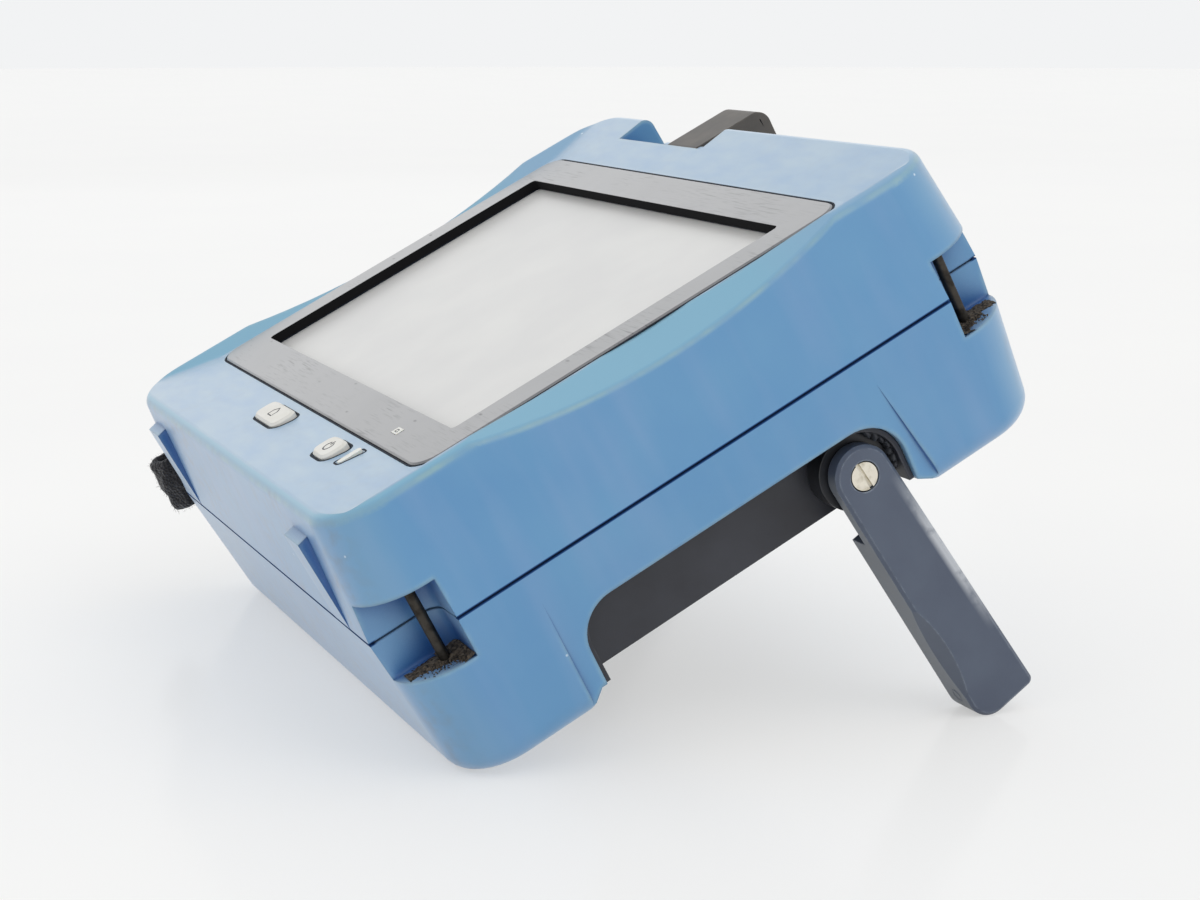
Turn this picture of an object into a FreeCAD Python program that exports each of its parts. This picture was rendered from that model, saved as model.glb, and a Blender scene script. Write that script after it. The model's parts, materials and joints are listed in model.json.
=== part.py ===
import FreeCAD
import Part
import math
import os

# Handheld optical time domain reflectometer standing on its two swing-out legs.
# It is modelled lying on its back (X to the right, Y from the front edge to the connector end,
# Z out of the screen, rear feet at Z = 0) and is stood up on its legs at the very end.

V = FreeCAD.Vector

# ---- driving dimensions, in millimetres and degrees ----
view_width = 153.4          # visible part of the screen
view_length = 88.4
bezel_side_band = 9.9       # visible screen to the edge of the bezel
bezel_front_band = 12.8
bezel_rear_band = 11.8
face_side_band = 13.4       # bezel to the case's outline at the parting line
face_front_band = 27.4
face_rear_band = 25.6
case_depth = 68.0           # rear feet to the raised rim of the face
split_height = 37.5         # parting line between the two shells
face_drop = 2.5             # raised rim down to the flat part of the face, round the screen
upper_side_draft = 8.5      # lean of the front shell's walls
upper_end_draft = 4.6
lower_side_draft = 2.3
lower_end_draft = 4.6
corner_radius = 15.0        # upright corners of the case
rim_radius = 3.0            # rounded outer edge of the face
foot_radius = 6.0           # rounded lower edge of the rear shell
wall = 3.0
part_line = 0.5             # height of the dark seam between the shells
part_line_inset = 0.8

bezel_corner = 6.0
bezel_thickness = 2.5
bezel_proud = 0.4
bezel_bevel = 0.4
bezel_gap = 0.3
view_corner = 1.5
screen_recess = 3.0         # bezel face down to the touch panel
screen_margin = 4.0         # touch panel beyond its visible part
touch_thickness = 1.8
lcd_thickness = 6.0
lcd_margin = 2.0            # module beyond the touch panel
screen_seat_gap = 0.3

scoop_start = 34.5          # hollowed side of the face, along Y
scoop_end = 137.5
scoop_depth = 6.8           # below the raised rim
crease_radius = 2.0         # rounded edge where the hollow meets the wall

rib_right = 61.0            # left sides of the two wedge ribs on the front wall
rib_left = -79.5
rib_width = 11.3
rib_reach = 0.8             # in front of the parting line, at the rib's top
rib_top_drop = 7.6          # below the raised rim
rib_cap_rise = 0.9

strap_pocket_depth_x = 14.0  # corner pockets that hold the strap posts
strap_pocket_depth_y = 17.0
strap_pocket_height = 19.4
strap_pocket_fillet = 5.0
post_diameter = 2.5
post_from_side = 8.0
post_from_end = 12.0
post_embed = 2.4

bay_left = -63.5            # open bay for the optical ports, at the connector end
bay_right = -9.5
bay_length = 13.2           # from the connector end, at the parting line
bay_depth = 23.5            # below the flat of the face

foot_length = 33.0          # rear feet: front band, and rear band from its own edge
rear_foot_start = 132.0
back_recess = 4.5           # back of the case above the feet
foot_slope_front = 5.0
foot_slope_rear = 7.5
side_relief = 1.4           # side walls pressed in between the feet
side_relief_top = 30.0

leg_pivot_y = 113.9
leg_pivot_z = 11.8
leg_reach = 70.2            # pivot to the tip
leg_lean = 8.0              # past square, when open
leg_half_width = 7.2
leg_tip_front = 9.1         # half widths at the tip
leg_tip_rear = 7.4
leg_tip_radius = 6.0
leg_heel_radius = 1.6
leg_inset = 2.6             # leg's outer face inside the case side
leg_thickness = 10.1
leg_plate = 4.2             # thickness of the arm at the pivot
leg_block_start = 15.3
leg_wall = 2.4
leg_edge_bevel = 0.8
grip_start = 30.0           # finger grip on the leg, measured from the pivot
grip_end = 63.0
grip_width = 3.1
grip_normal_x = 0.6
pocket_front = 39.4         # opening in the case side for the folded leg
pocket_corner = 9.5
pocket_arch = 11.3          # radius over the pivot
liner_thickness = 1.2
liner_gap = 0.15
liner_recess = 0.9          # liner edge inside the case side
leg_bay_depth = 13.5        # case side in to the inner case
chassis_bottom = 4.0
chassis_top = 30.0
chassis_wall = 2.5
chassis_flange = 3.5
chassis_flange_thickness = 2.0
hub_radius = 9.0
washer_radius = 6.0
washer_thickness = 0.8
pivot_shank = 2.5           # radii of the pivot screw
pivot_head = 3.3
pivot_head_height = 1.7
pivot_thread = 2.0
pivot_thread_length = 8.0
pivot_clearance = 0.05
slot_width = 0.9
slot_depth = 0.8

battery_width = 126.0
battery_length = 64.0
battery_height = 20.5
battery_front = 50.0
battery_gap = 0.5
battery_corner = 3.5
door_margin = 4.0           # door beyond the battery opening
door_thickness = 2.0
door_gap = 0.2

board_thickness = 1.6
board_width = 172.0
board_drop = 16.5           # flat of the face down to the back of the board
board_boss_radius = 3.4
board_boss_gap = 1.0        # boss to the display module
board_boss_side = 5.0       # boss centre to the side of the board
board_screw_radius = 1.3
board_stand_width = 60.0    # spacer between the board and the display module
board_stand_length = 40.0
chip_side = 14.0
chip_pitch = 30.0
chip_height = 1.6

optics_width = 60.0
optics_length = 52.0
optics_clearance = 4.3      # battery to the optical module's lid
optics_behind = 8.0         # optical module to the rear edge of the board
optics_lid = 1.2

home_x = -3.4               # centre of each button
home_width = 18.8
home_length = 7.0
power_x = 44.8
power_width = 10.6
power_length = 7.2
button_y = 20.0
button_proud = 1.3
button_bevel = 0.6
button_gap = 0.35
button_travel = 0.8
button_flange = 1.0
button_flange_thickness = 1.2
button_flange_gap = 0.1
light_x = 55.8
light_width = 2.2
light_length = 6.2

keypad_thickness = 1.6
keypad_end = 8.0            # board beyond the status light
keypad_start = 16.0         # board before the middle of the home button
keypad_half_length = 6.5
keypad_leg = 4.0            # stands under the face
led_height = 0.6
indicator_x = 57.5
indicator_y = 33.1
indicator_width = 3.7
indicator_length = 2.3

case_screw_x = 70.0
case_screw_front = 15.0
case_screw_rear = 151.0
case_screw_radius = 1.5
case_screw_head = 2.8
case_screw_head_height = 2.0
case_screw_length = 24.0
case_boss_radius = 4.6
screw_head_seat = 20.0

port_x = -28.0              # covered optical port
port_drop = 11.5            # below the flat of the face
port_flange = 12.6
port_flange_thickness = 2.0
port_barrel_radius = 4.2
port_length = 15.5
ferrule_radius = 1.25
vfl_x = -50.0               # visible-light port beside it
vfl_drop = 12.5
vfl_barrel_radius = 4.6
vfl_length = 10.0
vfl_nut_corner = 6.2
vfl_nut_height = 2.5
port_behind = 5.0           # barrels behind the bay wall
port_key_width = 2.2
port_wall = 0.9
sleeve_wall = 0.8

flap_half_width = 9.0
flap_thickness = 2.4
flap_stand_out = 12.0       # outer face of the flap's front plate beyond the case
flap_length = 20.0          # top of the flap down to its lip
flap_barrel_radius = 2.5
flap_pin_radius = 0.8
flap_pin_clearance = 0.05
flap_gap = 0.6              # barrel to the bay wall
flap_drop = 2.7             # top of the flap below the raised rim
flap_bend_radius = 4.0
flap_ear_gap = 0.3
flap_ear_width = 3.0

panel_left = 6.0            # connector panel beside the bay
panel_width = 64.0
panel_drop = 22.5           # lower edge of the panel below the flat of the face
panel_height = 15.0
panel_thickness = 3.0
panel_gap = 0.2
usb_from_left = 14.0        # middles of the connectors, from the panel's left end
micro_from_left = 32.0
jack_from_left = 52.0
usb_width = 13.2
usb_height = 5.8
usb_depth = 14.0
usb_shell = 0.5
micro_width = 8.0
micro_height = 3.0
jack_outer = 5.0
jack_bore = 2.9
jack_depth = 12.0
jack_pin = 0.9

strap_width = 15.0
strap_thickness = 2.2
strap_stand_off = 8.0       # bow of the hand strap away from the case
strap_fold = 3.2            # radius of the folded end at the front corner
strap_clearance = 0.4

# ---- places worked out from the sizes above ----
bezel_width = view_width + 2 * bezel_side_band
bezel_length = bezel_front_band + view_length + bezel_rear_band
bezel_front = face_front_band
view_front = bezel_front + bezel_front_band
case_width = bezel_width + 2 * face_side_band
case_length = face_front_band + bezel_length + face_rear_band
half_width = case_width / 2
leg_outer_face = half_width - leg_inset
chassis_half_width = half_width - leg_bay_depth
face_height = case_depth - face_drop
rib_top = case_depth - rib_top_drop
bay_front = case_length - bay_length
bay_floor = face_height - bay_depth
port_z = face_height - port_drop
vfl_z = face_height - vfl_drop
flap_reach = case_length + flap_stand_out
flap_top = case_depth - flap_drop
flap_bottom = flap_top - flap_length
panel_bottom = face_height - panel_drop
board_height = face_height - board_drop
battery_bottom = chassis_bottom + door_thickness
battery_top = battery_bottom + battery_height
lcd_grow = screen_margin + lcd_margin
boss_front = view_front - lcd_grow - board_boss_gap - board_boss_radius
boss_rear = view_front + view_length + lcd_grow + board_boss_gap + board_boss_radius
board_front = boss_front - board_boss_side
board_length = boss_rear + board_boss_side - board_front
optics_rear = board_front + board_length - optics_behind
optics_front = optics_rear - optics_length
chip_middle = optics_front - 3 - chip_side / 2
upper_side_slope = math.tan(math.radians(upper_side_draft))
upper_end_slope = math.tan(math.radians(upper_end_draft))
side_slope = math.tan(math.radians(lower_side_draft))
end_slope = math.tan(math.radians(lower_end_draft))
face_inner = face_height - wall
bezel_top = face_height + bezel_proud
bezel_seat = bezel_top - bezel_thickness
view_middle = view_front + view_length / 2
touch_top = bezel_top - screen_recess
touch_bottom = touch_top - touch_thickness
lcd_bottom = touch_bottom - lcd_thickness
side_inset = (case_depth - split_height) * upper_side_slope
end_inset = (case_depth - split_height) * upper_end_slope
hub_outer = leg_outer_face - leg_plate - washer_thickness
washer_outer = leg_outer_face - leg_plate
leg_inner_face = leg_outer_face - leg_thickness
pocket_top = leg_pivot_z + pocket_arch
pocket_rear = leg_pivot_y + pocket_arch
pocket_z0 = split_height - strap_pocket_height / 2
pocket_z1 = split_height + strap_pocket_height / 2
keypad_top = face_inner - button_flange_gap - button_flange_thickness - button_travel - 0.2


# ---- small helpers ----
def box(x0, x1, y0, y1, z0, z1):
    return Part.makeBox(x1 - x0, y1 - y0, z1 - z0, V(x0, y0, z0))


def rod(radius, length, start, direction):
    return Part.makeCylinder(radius, length, start, direction)


def six_sided(radius, length, start):
    """An upright column with six flat sides; radius reaches the corners."""
    angles = [math.radians(a) for a in range(0, 360, 60)]
    corners = [start + V(radius * math.cos(a), radius * math.sin(a), 0) for a in angles]
    return flat_face(corners).extrude(V(0, 0, length))


def ring(outer, inner, length, start, direction):
    return rod(outer, length, start, direction).cut(rod(inner, length, start, direction))


def mirrored(shape):
    return shape.mirror(V(0, 0, 0), V(1, 0, 0))


def fused(shapes):
    return shapes[0].multiFuse(shapes[1:]).removeSplitter()


def rectangle(half_x, y0, y1, z):
    return [V(-half_x, y0, z), V(half_x, y0, z), V(half_x, y1, z), V(-half_x, y1, z)]


def flat_face(corners):
    return Part.Face(Part.makePolygon(corners + corners[:1]))


def tapered_block(low, high):
    """Solid between two rectangles of four corners each, with flat sides."""
    first, last = (high, low) if low[0].z < high[0].z else (low, high)
    sides = []
    for i in range(4):
        j = (i + 1) % 4
        sides.append(flat_face([first[i], first[j], last[j], last[i]]))
    skin = Part.Shell([flat_face(first), flat_face(last)] + sides)
    skin.sewShape()
    return Part.Solid(skin)


def rounded_plate(x0, x1, y0, y1, z0, z1, radius):
    plate = box(x0, x1, y0, y1, z0, z1)
    return plate.makeFillet(radius, upright_edges(plate, z1 - z0))


def upright_edges(shape, height):
    return [e for e in shape.Edges if e.BoundBox.ZLength > 0.9 * abs(height)]


def edges_at(shape, z):
    return [e for e in shape.Edges if abs(e.BoundBox.ZMin - z) < 0.01 and abs(e.BoundBox.ZMax - z) < 0.01]


def drafted(inset, z0, z1, side, end, radius):
    """A block of the case's outline at z0, less inset, whose walls lean inwards towards z1."""
    rise = abs(z1 - z0)
    half = half_width - inset
    low = rectangle(half, inset, case_length - inset, z0)
    top = rectangle(half - rise * side, inset + rise * end, case_length - inset - rise * end, z1)
    block = tapered_block(low, top)
    return block.makeFillet(radius, upright_edges(block, z1 - z0))


def prism_x(points, x0, x1):
    outline = Part.makePolygon([V(x0, y, z) for y, z in points + points[:1]])
    return Part.Face(outline).extrude(V(x1 - x0, 0, 0))


def at_corners(make):
    """One shape in each corner, made at the front right and mirrored to the others."""
    front = make()
    rear = front.mirror(V(0, case_length / 2, 0), V(0, 1, 0))
    return [front, mirrored(front), rear, mirrored(rear)]


# ---- corner pockets and strap posts ----
def strap_pocket(grow):
    """Space of one corner pocket; grow thickens it into the block that carries its walls."""
    x0 = half_width - strap_pocket_depth_x - grow
    y1 = strap_pocket_depth_y + grow
    space = box(x0, half_width + 5, -5, y1, pocket_z0 - grow, pocket_z1 + grow)
    inner = [e for e in upright_edges(space, pocket_z1 - pocket_z0)
             if abs(e.BoundBox.XMin - x0) < 0.01 and abs(e.BoundBox.YMax - y1) < 0.01]
    return space.makeFillet(strap_pocket_fillet, inner)


def strap_post():
    length = strap_pocket_height + 2 * post_embed
    start = V(half_width - post_from_side, post_from_end, pocket_z0 - post_embed)
    return rod(post_diameter / 2, length, start, V(0, 0, 1))


# ---- front shell ----
def dished_face():
    """The face falls gently from the raised rim to the flat round the screen."""
    margin = 1.5
    rise = case_depth - face_height
    low = rectangle(bezel_width / 2 + margin, bezel_front - margin,
                    bezel_front + bezel_length + margin, face_height)
    land = rim_radius * 0.8
    half_top = half_width - side_inset - land
    front_top = end_inset + land
    run_side = half_top - bezel_width / 2 - margin
    run_front = bezel_front - margin - front_top
    run_rear = case_length - front_top - bezel_front - bezel_length - margin
    high = rectangle(bezel_width / 2 + margin + 2 * run_side, bezel_front - margin - 2 * run_front,
                     bezel_front + bezel_length + margin + 2 * run_rear, face_height + 2 * rise)
    hollow = tapered_block(low, high)
    return hollow.makeFillet(bezel_corner, upright_edges(hollow, 2 * rise))


def side_scoop():
    """A shallow cylindrical hollow that falls from the bezel's side out to the case wall."""
    start_x = bezel_width / 2
    wall_x = half_width - side_inset
    drop = scoop_depth - (case_depth - face_height)
    slope = drop / (wall_x - start_x)
    radius = ((scoop_end - scoop_start) ** 2 / 4 + scoop_depth ** 2) / (2 * scoop_depth)
    middle = (scoop_start + scoop_end) / 2
    lift = 12.0
    reach = math.sqrt(radius ** 2 - (radius - lift) ** 2)
    left = V(start_x, middle - reach, face_height + lift)
    right = V(start_x, middle + reach, face_height + lift)
    low = V(start_x, middle, face_height)
    outline = Part.Wire([Part.Arc(left, low, right).toShape(), Part.makeLine(right, left)])
    run = 2 * (wall_x - start_x)
    return Part.Face(outline).extrude(V(run, 0, -run * slope))


def scoop_backing():
    """Under the side hollow the cavity keeps clear, so the wall stays whole."""
    backing = side_scoop()
    backing.translate(V(0, 0, -wall - 0.4))
    return backing


def front_rib(x):
    """Wedge that stays upright while the wall behind it leans back."""
    foot = wall * 0.9
    profile = [(0, split_height), (-rib_reach, rib_top), (foot, rib_top + rib_cap_rise), (foot, split_height)]
    return prism_x(profile, x, x + rib_width)


def display_opening():
    half = view_width / 2 + screen_margin
    return box(-half, half, view_front - screen_margin, view_front + view_length + screen_margin,
               face_inner - 1, face_height + 5)


def bezel_recess():
    half = bezel_width / 2 + bezel_gap
    return rounded_plate(-half, half, bezel_front - bezel_gap, bezel_front + bezel_length + bezel_gap,
                         bezel_seat, face_height + 5, bezel_corner + bezel_gap)


def button_space(x, width, length, gap):
    return rounded_plate(x - width / 2 - gap, x + width / 2 + gap, button_y - length / 2 - gap,
                         button_y + length / 2 + gap, face_inner - 1, case_depth + 1, length * 0.4)


def light_outline(gap, z0, z1):
    half = light_length / 2 + gap
    x0 = light_x - light_width / 2 - gap
    x1 = light_x + light_width / 2 + gap
    return rounded_plate(x0, x1, button_y + 1.2 - half, button_y + 1.2 + half, z0, z1, 0.9)


def port_bay(grow):
    return box(bay_left - grow, bay_right + grow, bay_front - grow, case_length + 10, bay_floor - grow,
               case_depth + 5)


def panel_window(gap):
    return box(panel_left - gap, panel_left + panel_width + gap, case_length - 20, case_length + 10,
               panel_bottom - gap, panel_bottom + panel_height + gap)


def board_bosses():
    side = board_width / 2 - board_boss_side
    return [(x, y) for x in (-side, side) for y in (boss_front, boss_rear)]


def case_screw_places():
    return [(x, y) for x in (-case_screw_x, case_screw_x) for y in (case_screw_front, case_screw_rear)]


def crease_edges(shape):
    """The two long edges where the side hollows meet the walls."""
    low = case_depth - scoop_depth
    return [e for e in shape.Edges
            if split_height + 1 < e.BoundBox.ZMin < low + 0.5 and e.BoundBox.YLength > scoop_depth]


def front_outside():
    """Solid outer form of the front shell: leaning walls, soft rim, dished face and side hollows."""
    block = drafted(0, split_height, case_depth, upper_side_slope, upper_end_slope, corner_radius)
    block = block.makeFillet(rim_radius, edges_at(block, case_depth))
    block = block.cut([dished_face(), side_scoop(), mirrored(side_scoop())]).Solids[0]
    return block.makeFillet(crease_radius, crease_edges(block))


def front_shell():
    z0 = split_height + part_line / 2
    outer = front_outside()
    blocks = [b.common(outer) for b in at_corners(lambda: strap_pocket(wall * 0.8))]
    blocks.append(port_bay(wall * 0.8).common(outer))
    cavity = drafted(wall, split_height - 1, face_inner, upper_side_slope, upper_end_slope, corner_radius - wall)
    hollow = outer.cut(cavity.cut([scoop_backing(), mirrored(scoop_backing())]))
    for x, y in board_bosses():
        foot = board_height + board_thickness
        blocks.append(six_sided(board_boss_radius, face_inner - foot + 0.5, V(x, y, foot)))
    for x, y in case_screw_places():
        blocks.append(six_sided(case_boss_radius, face_inner - z0 + 0.5, V(x, y, z0)))
    blocks += [front_rib(rib_right), front_rib(rib_left)]
    shell = fused([hollow] + blocks)
    cuts = [display_opening(), bezel_recess(),
            button_space(home_x, home_width, home_length, button_gap),
            button_space(power_x, power_width, power_length, button_gap),
            light_outline(0.1, face_inner - 1, case_depth), port_bay(0), panel_window(panel_gap),
            box(-half_width, half_width, -10, case_length + 10, split_height - 1, z0)]
    cuts += at_corners(lambda: strap_pocket(0))
    cuts += at_corners(strap_post)
    for x, y in case_screw_places():
        cuts.append(rod(case_screw_radius, case_screw_length, V(x, y, screw_head_seat), V(0, 0, 1)))
    for x, y in board_bosses():
        cuts.append(rod(board_screw_radius, 7, V(x, y, board_height), V(0, 0, 1)))
    cuts.append(rod(port_barrel_radius, 10, V(port_x, bay_front - 5, port_z), V(0, 1, 0)))
    cuts.append(rod(vfl_barrel_radius, 10, V(vfl_x, bay_front - 5, vfl_z), V(0, 1, 0)))
    return shell.cut(cuts)


# ---- rear shell ----
def leg_pocket_outline(shrink, x):
    """Opening for one leg in the case side: round front end, straight top, arch over the pivot."""
    y0 = pocket_front + shrink
    y1 = pocket_rear - shrink
    z1 = pocket_top - shrink
    corner = pocket_corner - shrink
    arch = pocket_arch - shrink
    low = -5.0
    bend = math.sqrt(0.5)
    edges = [Part.makeLine(V(x, y0, low), V(x, y0, z1 - corner)),
             Part.Arc(V(x, y0, z1 - corner), V(x, y0 + corner * (1 - bend), z1 - corner * (1 - bend)),
                      V(x, y0 + corner, z1)).toShape(),
             Part.makeLine(V(x, y0 + corner, z1), V(x, leg_pivot_y, z1)),
             Part.Arc(V(x, leg_pivot_y, z1), V(x, leg_pivot_y + arch * bend, leg_pivot_z + arch * bend),
                      V(x, y1, leg_pivot_z)).toShape(),
             Part.makeLine(V(x, y1, leg_pivot_z), V(x, y1, low)),
             Part.makeLine(V(x, y1, low), V(x, y0, low))]
    return Part.Face(Part.Wire(edges))


def leg_pocket(shrink, x0, x1):
    return leg_pocket_outline(shrink, x0).extrude(V(x1 - x0, 0, 0))


def back_recess_space():
    low = -1.0
    front_run = foot_slope_front / back_recess
    rear_run = foot_slope_rear / back_recess
    profile = [(foot_length + front_run * low, low), (foot_length + foot_slope_front, back_recess),
               (rear_foot_start - foot_slope_rear, back_recess), (rear_foot_start - rear_run * low, low)]
    return prism_x(profile, -half_width - 5, half_width + 5)


def side_relief_space():
    """Wedge that presses the side wall in between the feet and fades out towards the top."""
    top_x = half_width - (split_height - side_relief_top) * side_slope
    low_x = half_width - split_height * side_slope - side_relief
    y0 = foot_length + 1.5
    y1 = rear_foot_start
    lean = foot_slope_rear
    outline = Part.makePolygon([V(top_x, y0, side_relief_top), V(low_x, y0, 0), V(low_x, y0, -5),
                                V(half_width + 5, y0, -5), V(half_width + 5, y0, side_relief_top),
                                V(top_x, y0, side_relief_top)])
    wedge = Part.Face(outline).extrude(V(0, y1 - y0, 0))
    end = prism_x([(y1, -6), (y1 + 5, -6), (y1 + 5, side_relief_top + 1), (y1 - lean, side_relief_top + 1)],
                  half_width - 10, half_width + 10)
    return wedge.cut(end)


def back_window(gap):
    half = chassis_half_width + gap
    return box(-half, half, pocket_front + liner_gap - gap, pocket_rear - liner_gap + gap, -1, chassis_top)


def rear_shell():
    z1 = split_height - part_line / 2
    outer = drafted(0, split_height, 0, side_slope, end_slope, corner_radius)
    outer = outer.makeFillet(foot_radius, edges_at(outer, 0))
    blocks = [b.common(outer) for b in at_corners(lambda: strap_pocket(wall * 0.8))]
    hollow = outer.cut(drafted(wall, split_height + 1, back_recess + wall, side_slope, end_slope,
                               corner_radius - wall))
    for x, y in case_screw_places():
        blocks.append(six_sided(case_boss_radius, z1 - wall, V(x, y, wall)))
    shell = fused([hollow] + blocks)
    cuts = [back_recess_space(), side_relief_space(), mirrored(side_relief_space()), back_window(liner_gap),
            leg_pocket(0, chassis_half_width, half_width + 5),
            mirrored(leg_pocket(0, chassis_half_width, half_width + 5)),
            box(-half_width, half_width, -10, case_length + 10, z1, split_height + 1)]
    cuts += at_corners(lambda: strap_pocket(0))
    cuts += at_corners(strap_post)
    for x, y in case_screw_places():
        cuts.append(rod(case_screw_head + 0.2, screw_head_seat + 1, V(x, y, -1), V(0, 0, 1)))
        cuts.append(rod(case_screw_radius, split_height, V(x, y, screw_head_seat), V(0, 0, 1)))
    return shell.cut(cuts)


def case_seal():
    """Dark gasket whose edge shows as the thin seam all round the case."""
    z0 = split_height - part_line / 2
    z1 = split_height + part_line / 2
    band = drafted(part_line_inset, z0, z1, 0, 0, corner_radius - part_line_inset)
    inside = drafted(wall, z0 - 1, z1 + 1, 0, 0, corner_radius - wall)
    shape = band.cut([inside] + at_corners(lambda: strap_pocket(part_line_inset)))
    return shape


# ---- display ----
def display_bezel():
    half = bezel_width / 2
    plate = rounded_plate(-half, half, bezel_front, bezel_front + bezel_length, bezel_seat, bezel_top,
                          bezel_corner)
    plate = plate.makeChamfer(bezel_bevel, edges_at(plate, bezel_top))
    opening = rounded_plate(-view_width / 2, view_width / 2, view_front, view_front + view_length,
                            bezel_seat - 1, bezel_top + 1, view_corner)
    return plate.cut([opening, indicator_space(0)])


def indicator_space(shrink):
    return box(indicator_x - indicator_width / 2 + shrink, indicator_x + indicator_width / 2 - shrink,
               indicator_y - indicator_length / 2 + shrink, indicator_y + indicator_length / 2 - shrink,
               bezel_seat, bezel_top + 1)


def battery_indicator():
    shape = indicator_space(0.05)
    return shape.common(box(-half_width, half_width, 0, case_length, bezel_seat, bezel_top + 0.1))


def display_gasket():
    half = view_width / 2 + screen_margin - screen_seat_gap
    frame = box(-half, half, view_front - screen_margin + screen_seat_gap,
                view_front + view_length + screen_margin - screen_seat_gap, touch_top, bezel_seat)
    edge = 0.4
    return frame.cut(box(-view_width / 2 - edge, view_width / 2 + edge, view_front - edge,
                         view_front + view_length + edge, touch_top - 1, bezel_seat + 1))


def touch_panel():
    half = view_width / 2 + screen_margin - screen_seat_gap
    return box(-half, half, view_front - screen_margin + screen_seat_gap,
               view_front + view_length + screen_margin - screen_seat_gap, touch_bottom, touch_top)


def lcd_module():
    half = view_width / 2 + lcd_grow
    y0 = view_front - lcd_grow
    y1 = view_front + view_length + lcd_grow
    plate = box(-half, half, y0, y1, lcd_bottom, touch_bottom)
    rim = box(-half, half, y0, y1, touch_bottom, face_inner)
    inner = view_width / 2 + screen_margin
    inside = box(-inner, inner, view_front - screen_margin, view_front + view_length + screen_margin,
                 touch_bottom - 1, face_inner + 1)
    return plate.fuse(rim.cut(inside)).removeSplitter()


# ---- boards, battery and optics ----
def main_board():
    half = board_width / 2
    z1 = board_height + board_thickness
    plate = box(-half, half, board_front, board_front + board_length, board_height, z1)
    stand = box(-board_stand_width / 2, board_stand_width / 2, view_middle - board_stand_length / 2,
                view_middle + board_stand_length / 2, z1, lcd_bottom)
    chips = [box(i * chip_pitch - chip_side / 2, i * chip_pitch + chip_side / 2, chip_middle - chip_side / 2,
                 chip_middle + chip_side / 2, board_height - chip_height, board_height)
             for i in (-2, -1, 1, 2)]
    plate = fused([plate, stand] + chips)
    holes = [rod(board_screw_radius, 10, V(x, y, board_height - 1), V(0, 0, 1)) for x, y in board_bosses()]
    return plate.cut(holes)


def board_screws():
    screws = []
    for x, y in board_bosses():
        head = six_sided(board_screw_radius * 1.9, 1.6, V(x, y, board_height - 1.6))
        screws.append(head.fuse(rod(board_screw_radius, 6, V(x, y, board_height), V(0, 0, 1))))
    return Part.makeCompound(screws)


def optical_module():
    z0 = battery_top + optics_clearance + optics_lid
    side = optics_width / 2
    body = box(port_x - side, port_x + side, optics_front, optics_rear, z0, board_height)
    lid_step = box(port_x - side + 4, port_x + side - 4, optics_front + 4, optics_rear - 4, z0 - optics_lid, z0)
    return body.fuse(lid_step).removeSplitter()


def battery_pack():
    half = battery_width / 2
    return rounded_plate(-half, half, battery_front, battery_front + battery_length, battery_bottom,
                         battery_top, battery_corner)


def back_chassis():
    """Black inner case: a tray with the battery bay, whose sides line the two leg pockets."""
    half = chassis_half_width
    y0 = pocket_front + liner_gap
    y1 = pocket_rear - liner_gap
    tray = box(-half, half, y0, y1, chassis_bottom, chassis_top)
    flange_z = back_recess + wall
    flange = box(-half + 6, half - 6, y0 - chassis_flange, y1 + chassis_flange, flange_z,
                 flange_z + chassis_flange_thickness)
    liner_end = half_width - split_height * side_slope - side_relief - liner_recess
    liner = leg_pocket(liner_gap, half - 0.5, liner_end)
    liner = liner.common(box(0, half_width, 0, case_length, chassis_bottom + 0.3, case_depth))
    liner = liner.cut(leg_pocket(liner_gap + liner_thickness, half, liner_end + 1))
    shape = fused([tray, flange, liner, mirrored(liner)])
    inside = box(-half + chassis_wall, half - chassis_wall, y0 + chassis_wall, y1 - chassis_wall,
                 chassis_bottom + chassis_wall, chassis_top + 1)
    opening = rounded_plate(-battery_width / 2 - battery_gap, battery_width / 2 + battery_gap,
                            battery_front - battery_gap, battery_front + battery_length + battery_gap,
                            chassis_bottom - 1, chassis_bottom + chassis_wall + 1,
                            battery_corner + battery_gap)
    pivots = [rod(pivot_thread, 20, V(s * (half + 1), leg_pivot_y, leg_pivot_z), V(-s, 0, 0))
              for s in (-1, 1)]
    shape = shape.cut([inside, opening, door_blank(door_gap)] + pivots)
    boss_length = pivot_thread_length
    for s in (-1, 1):
        start = V(s * (half - chassis_wall), leg_pivot_y, leg_pivot_z)
        shape = shape.fuse(ring(pivot_thread + 2.4, pivot_thread, boss_length - chassis_wall, start,
                                V(-s, 0, 0)))
    return shape.removeSplitter()


def door_blank(grow):
    reach = battery_gap + door_margin + grow
    half = battery_width / 2 + reach
    return rounded_plate(-half, half, battery_front - reach, battery_front + battery_length + reach,
                         chassis_bottom - (1 if grow else 0), chassis_bottom + door_thickness, 5.0)


def door_screw_places():
    y = battery_front - battery_gap - door_margin / 2
    return [(x, y) for x in (-battery_width / 4, battery_width / 4)]


def battery_door():
    door = door_blank(0)
    pull = Part.makeCylinder(9.0, 3.0, V(0, battery_front + battery_length + 4, chassis_bottom - 2.2),
                             V(0, 0, 1))
    screws = [rod(1.6, 3, V(x, y, chassis_bottom - 0.5), V(0, 0, 1)) for x, y in door_screw_places()]
    grooves = [box(x - 0.6, x + 0.6, battery_front + 12, battery_front + battery_length - 12,
                   chassis_bottom - 1, chassis_bottom + 0.5) for x in range(-50, 51, 10)]
    return door.cut([pull] + screws + grooves)


def battery_door_screws():
    return Part.makeCompound([rod(1.5, door_thickness - 0.3, V(x, y, chassis_bottom + 0.3), V(0, 0, 1))
                              for x, y in door_screw_places()])


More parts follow.
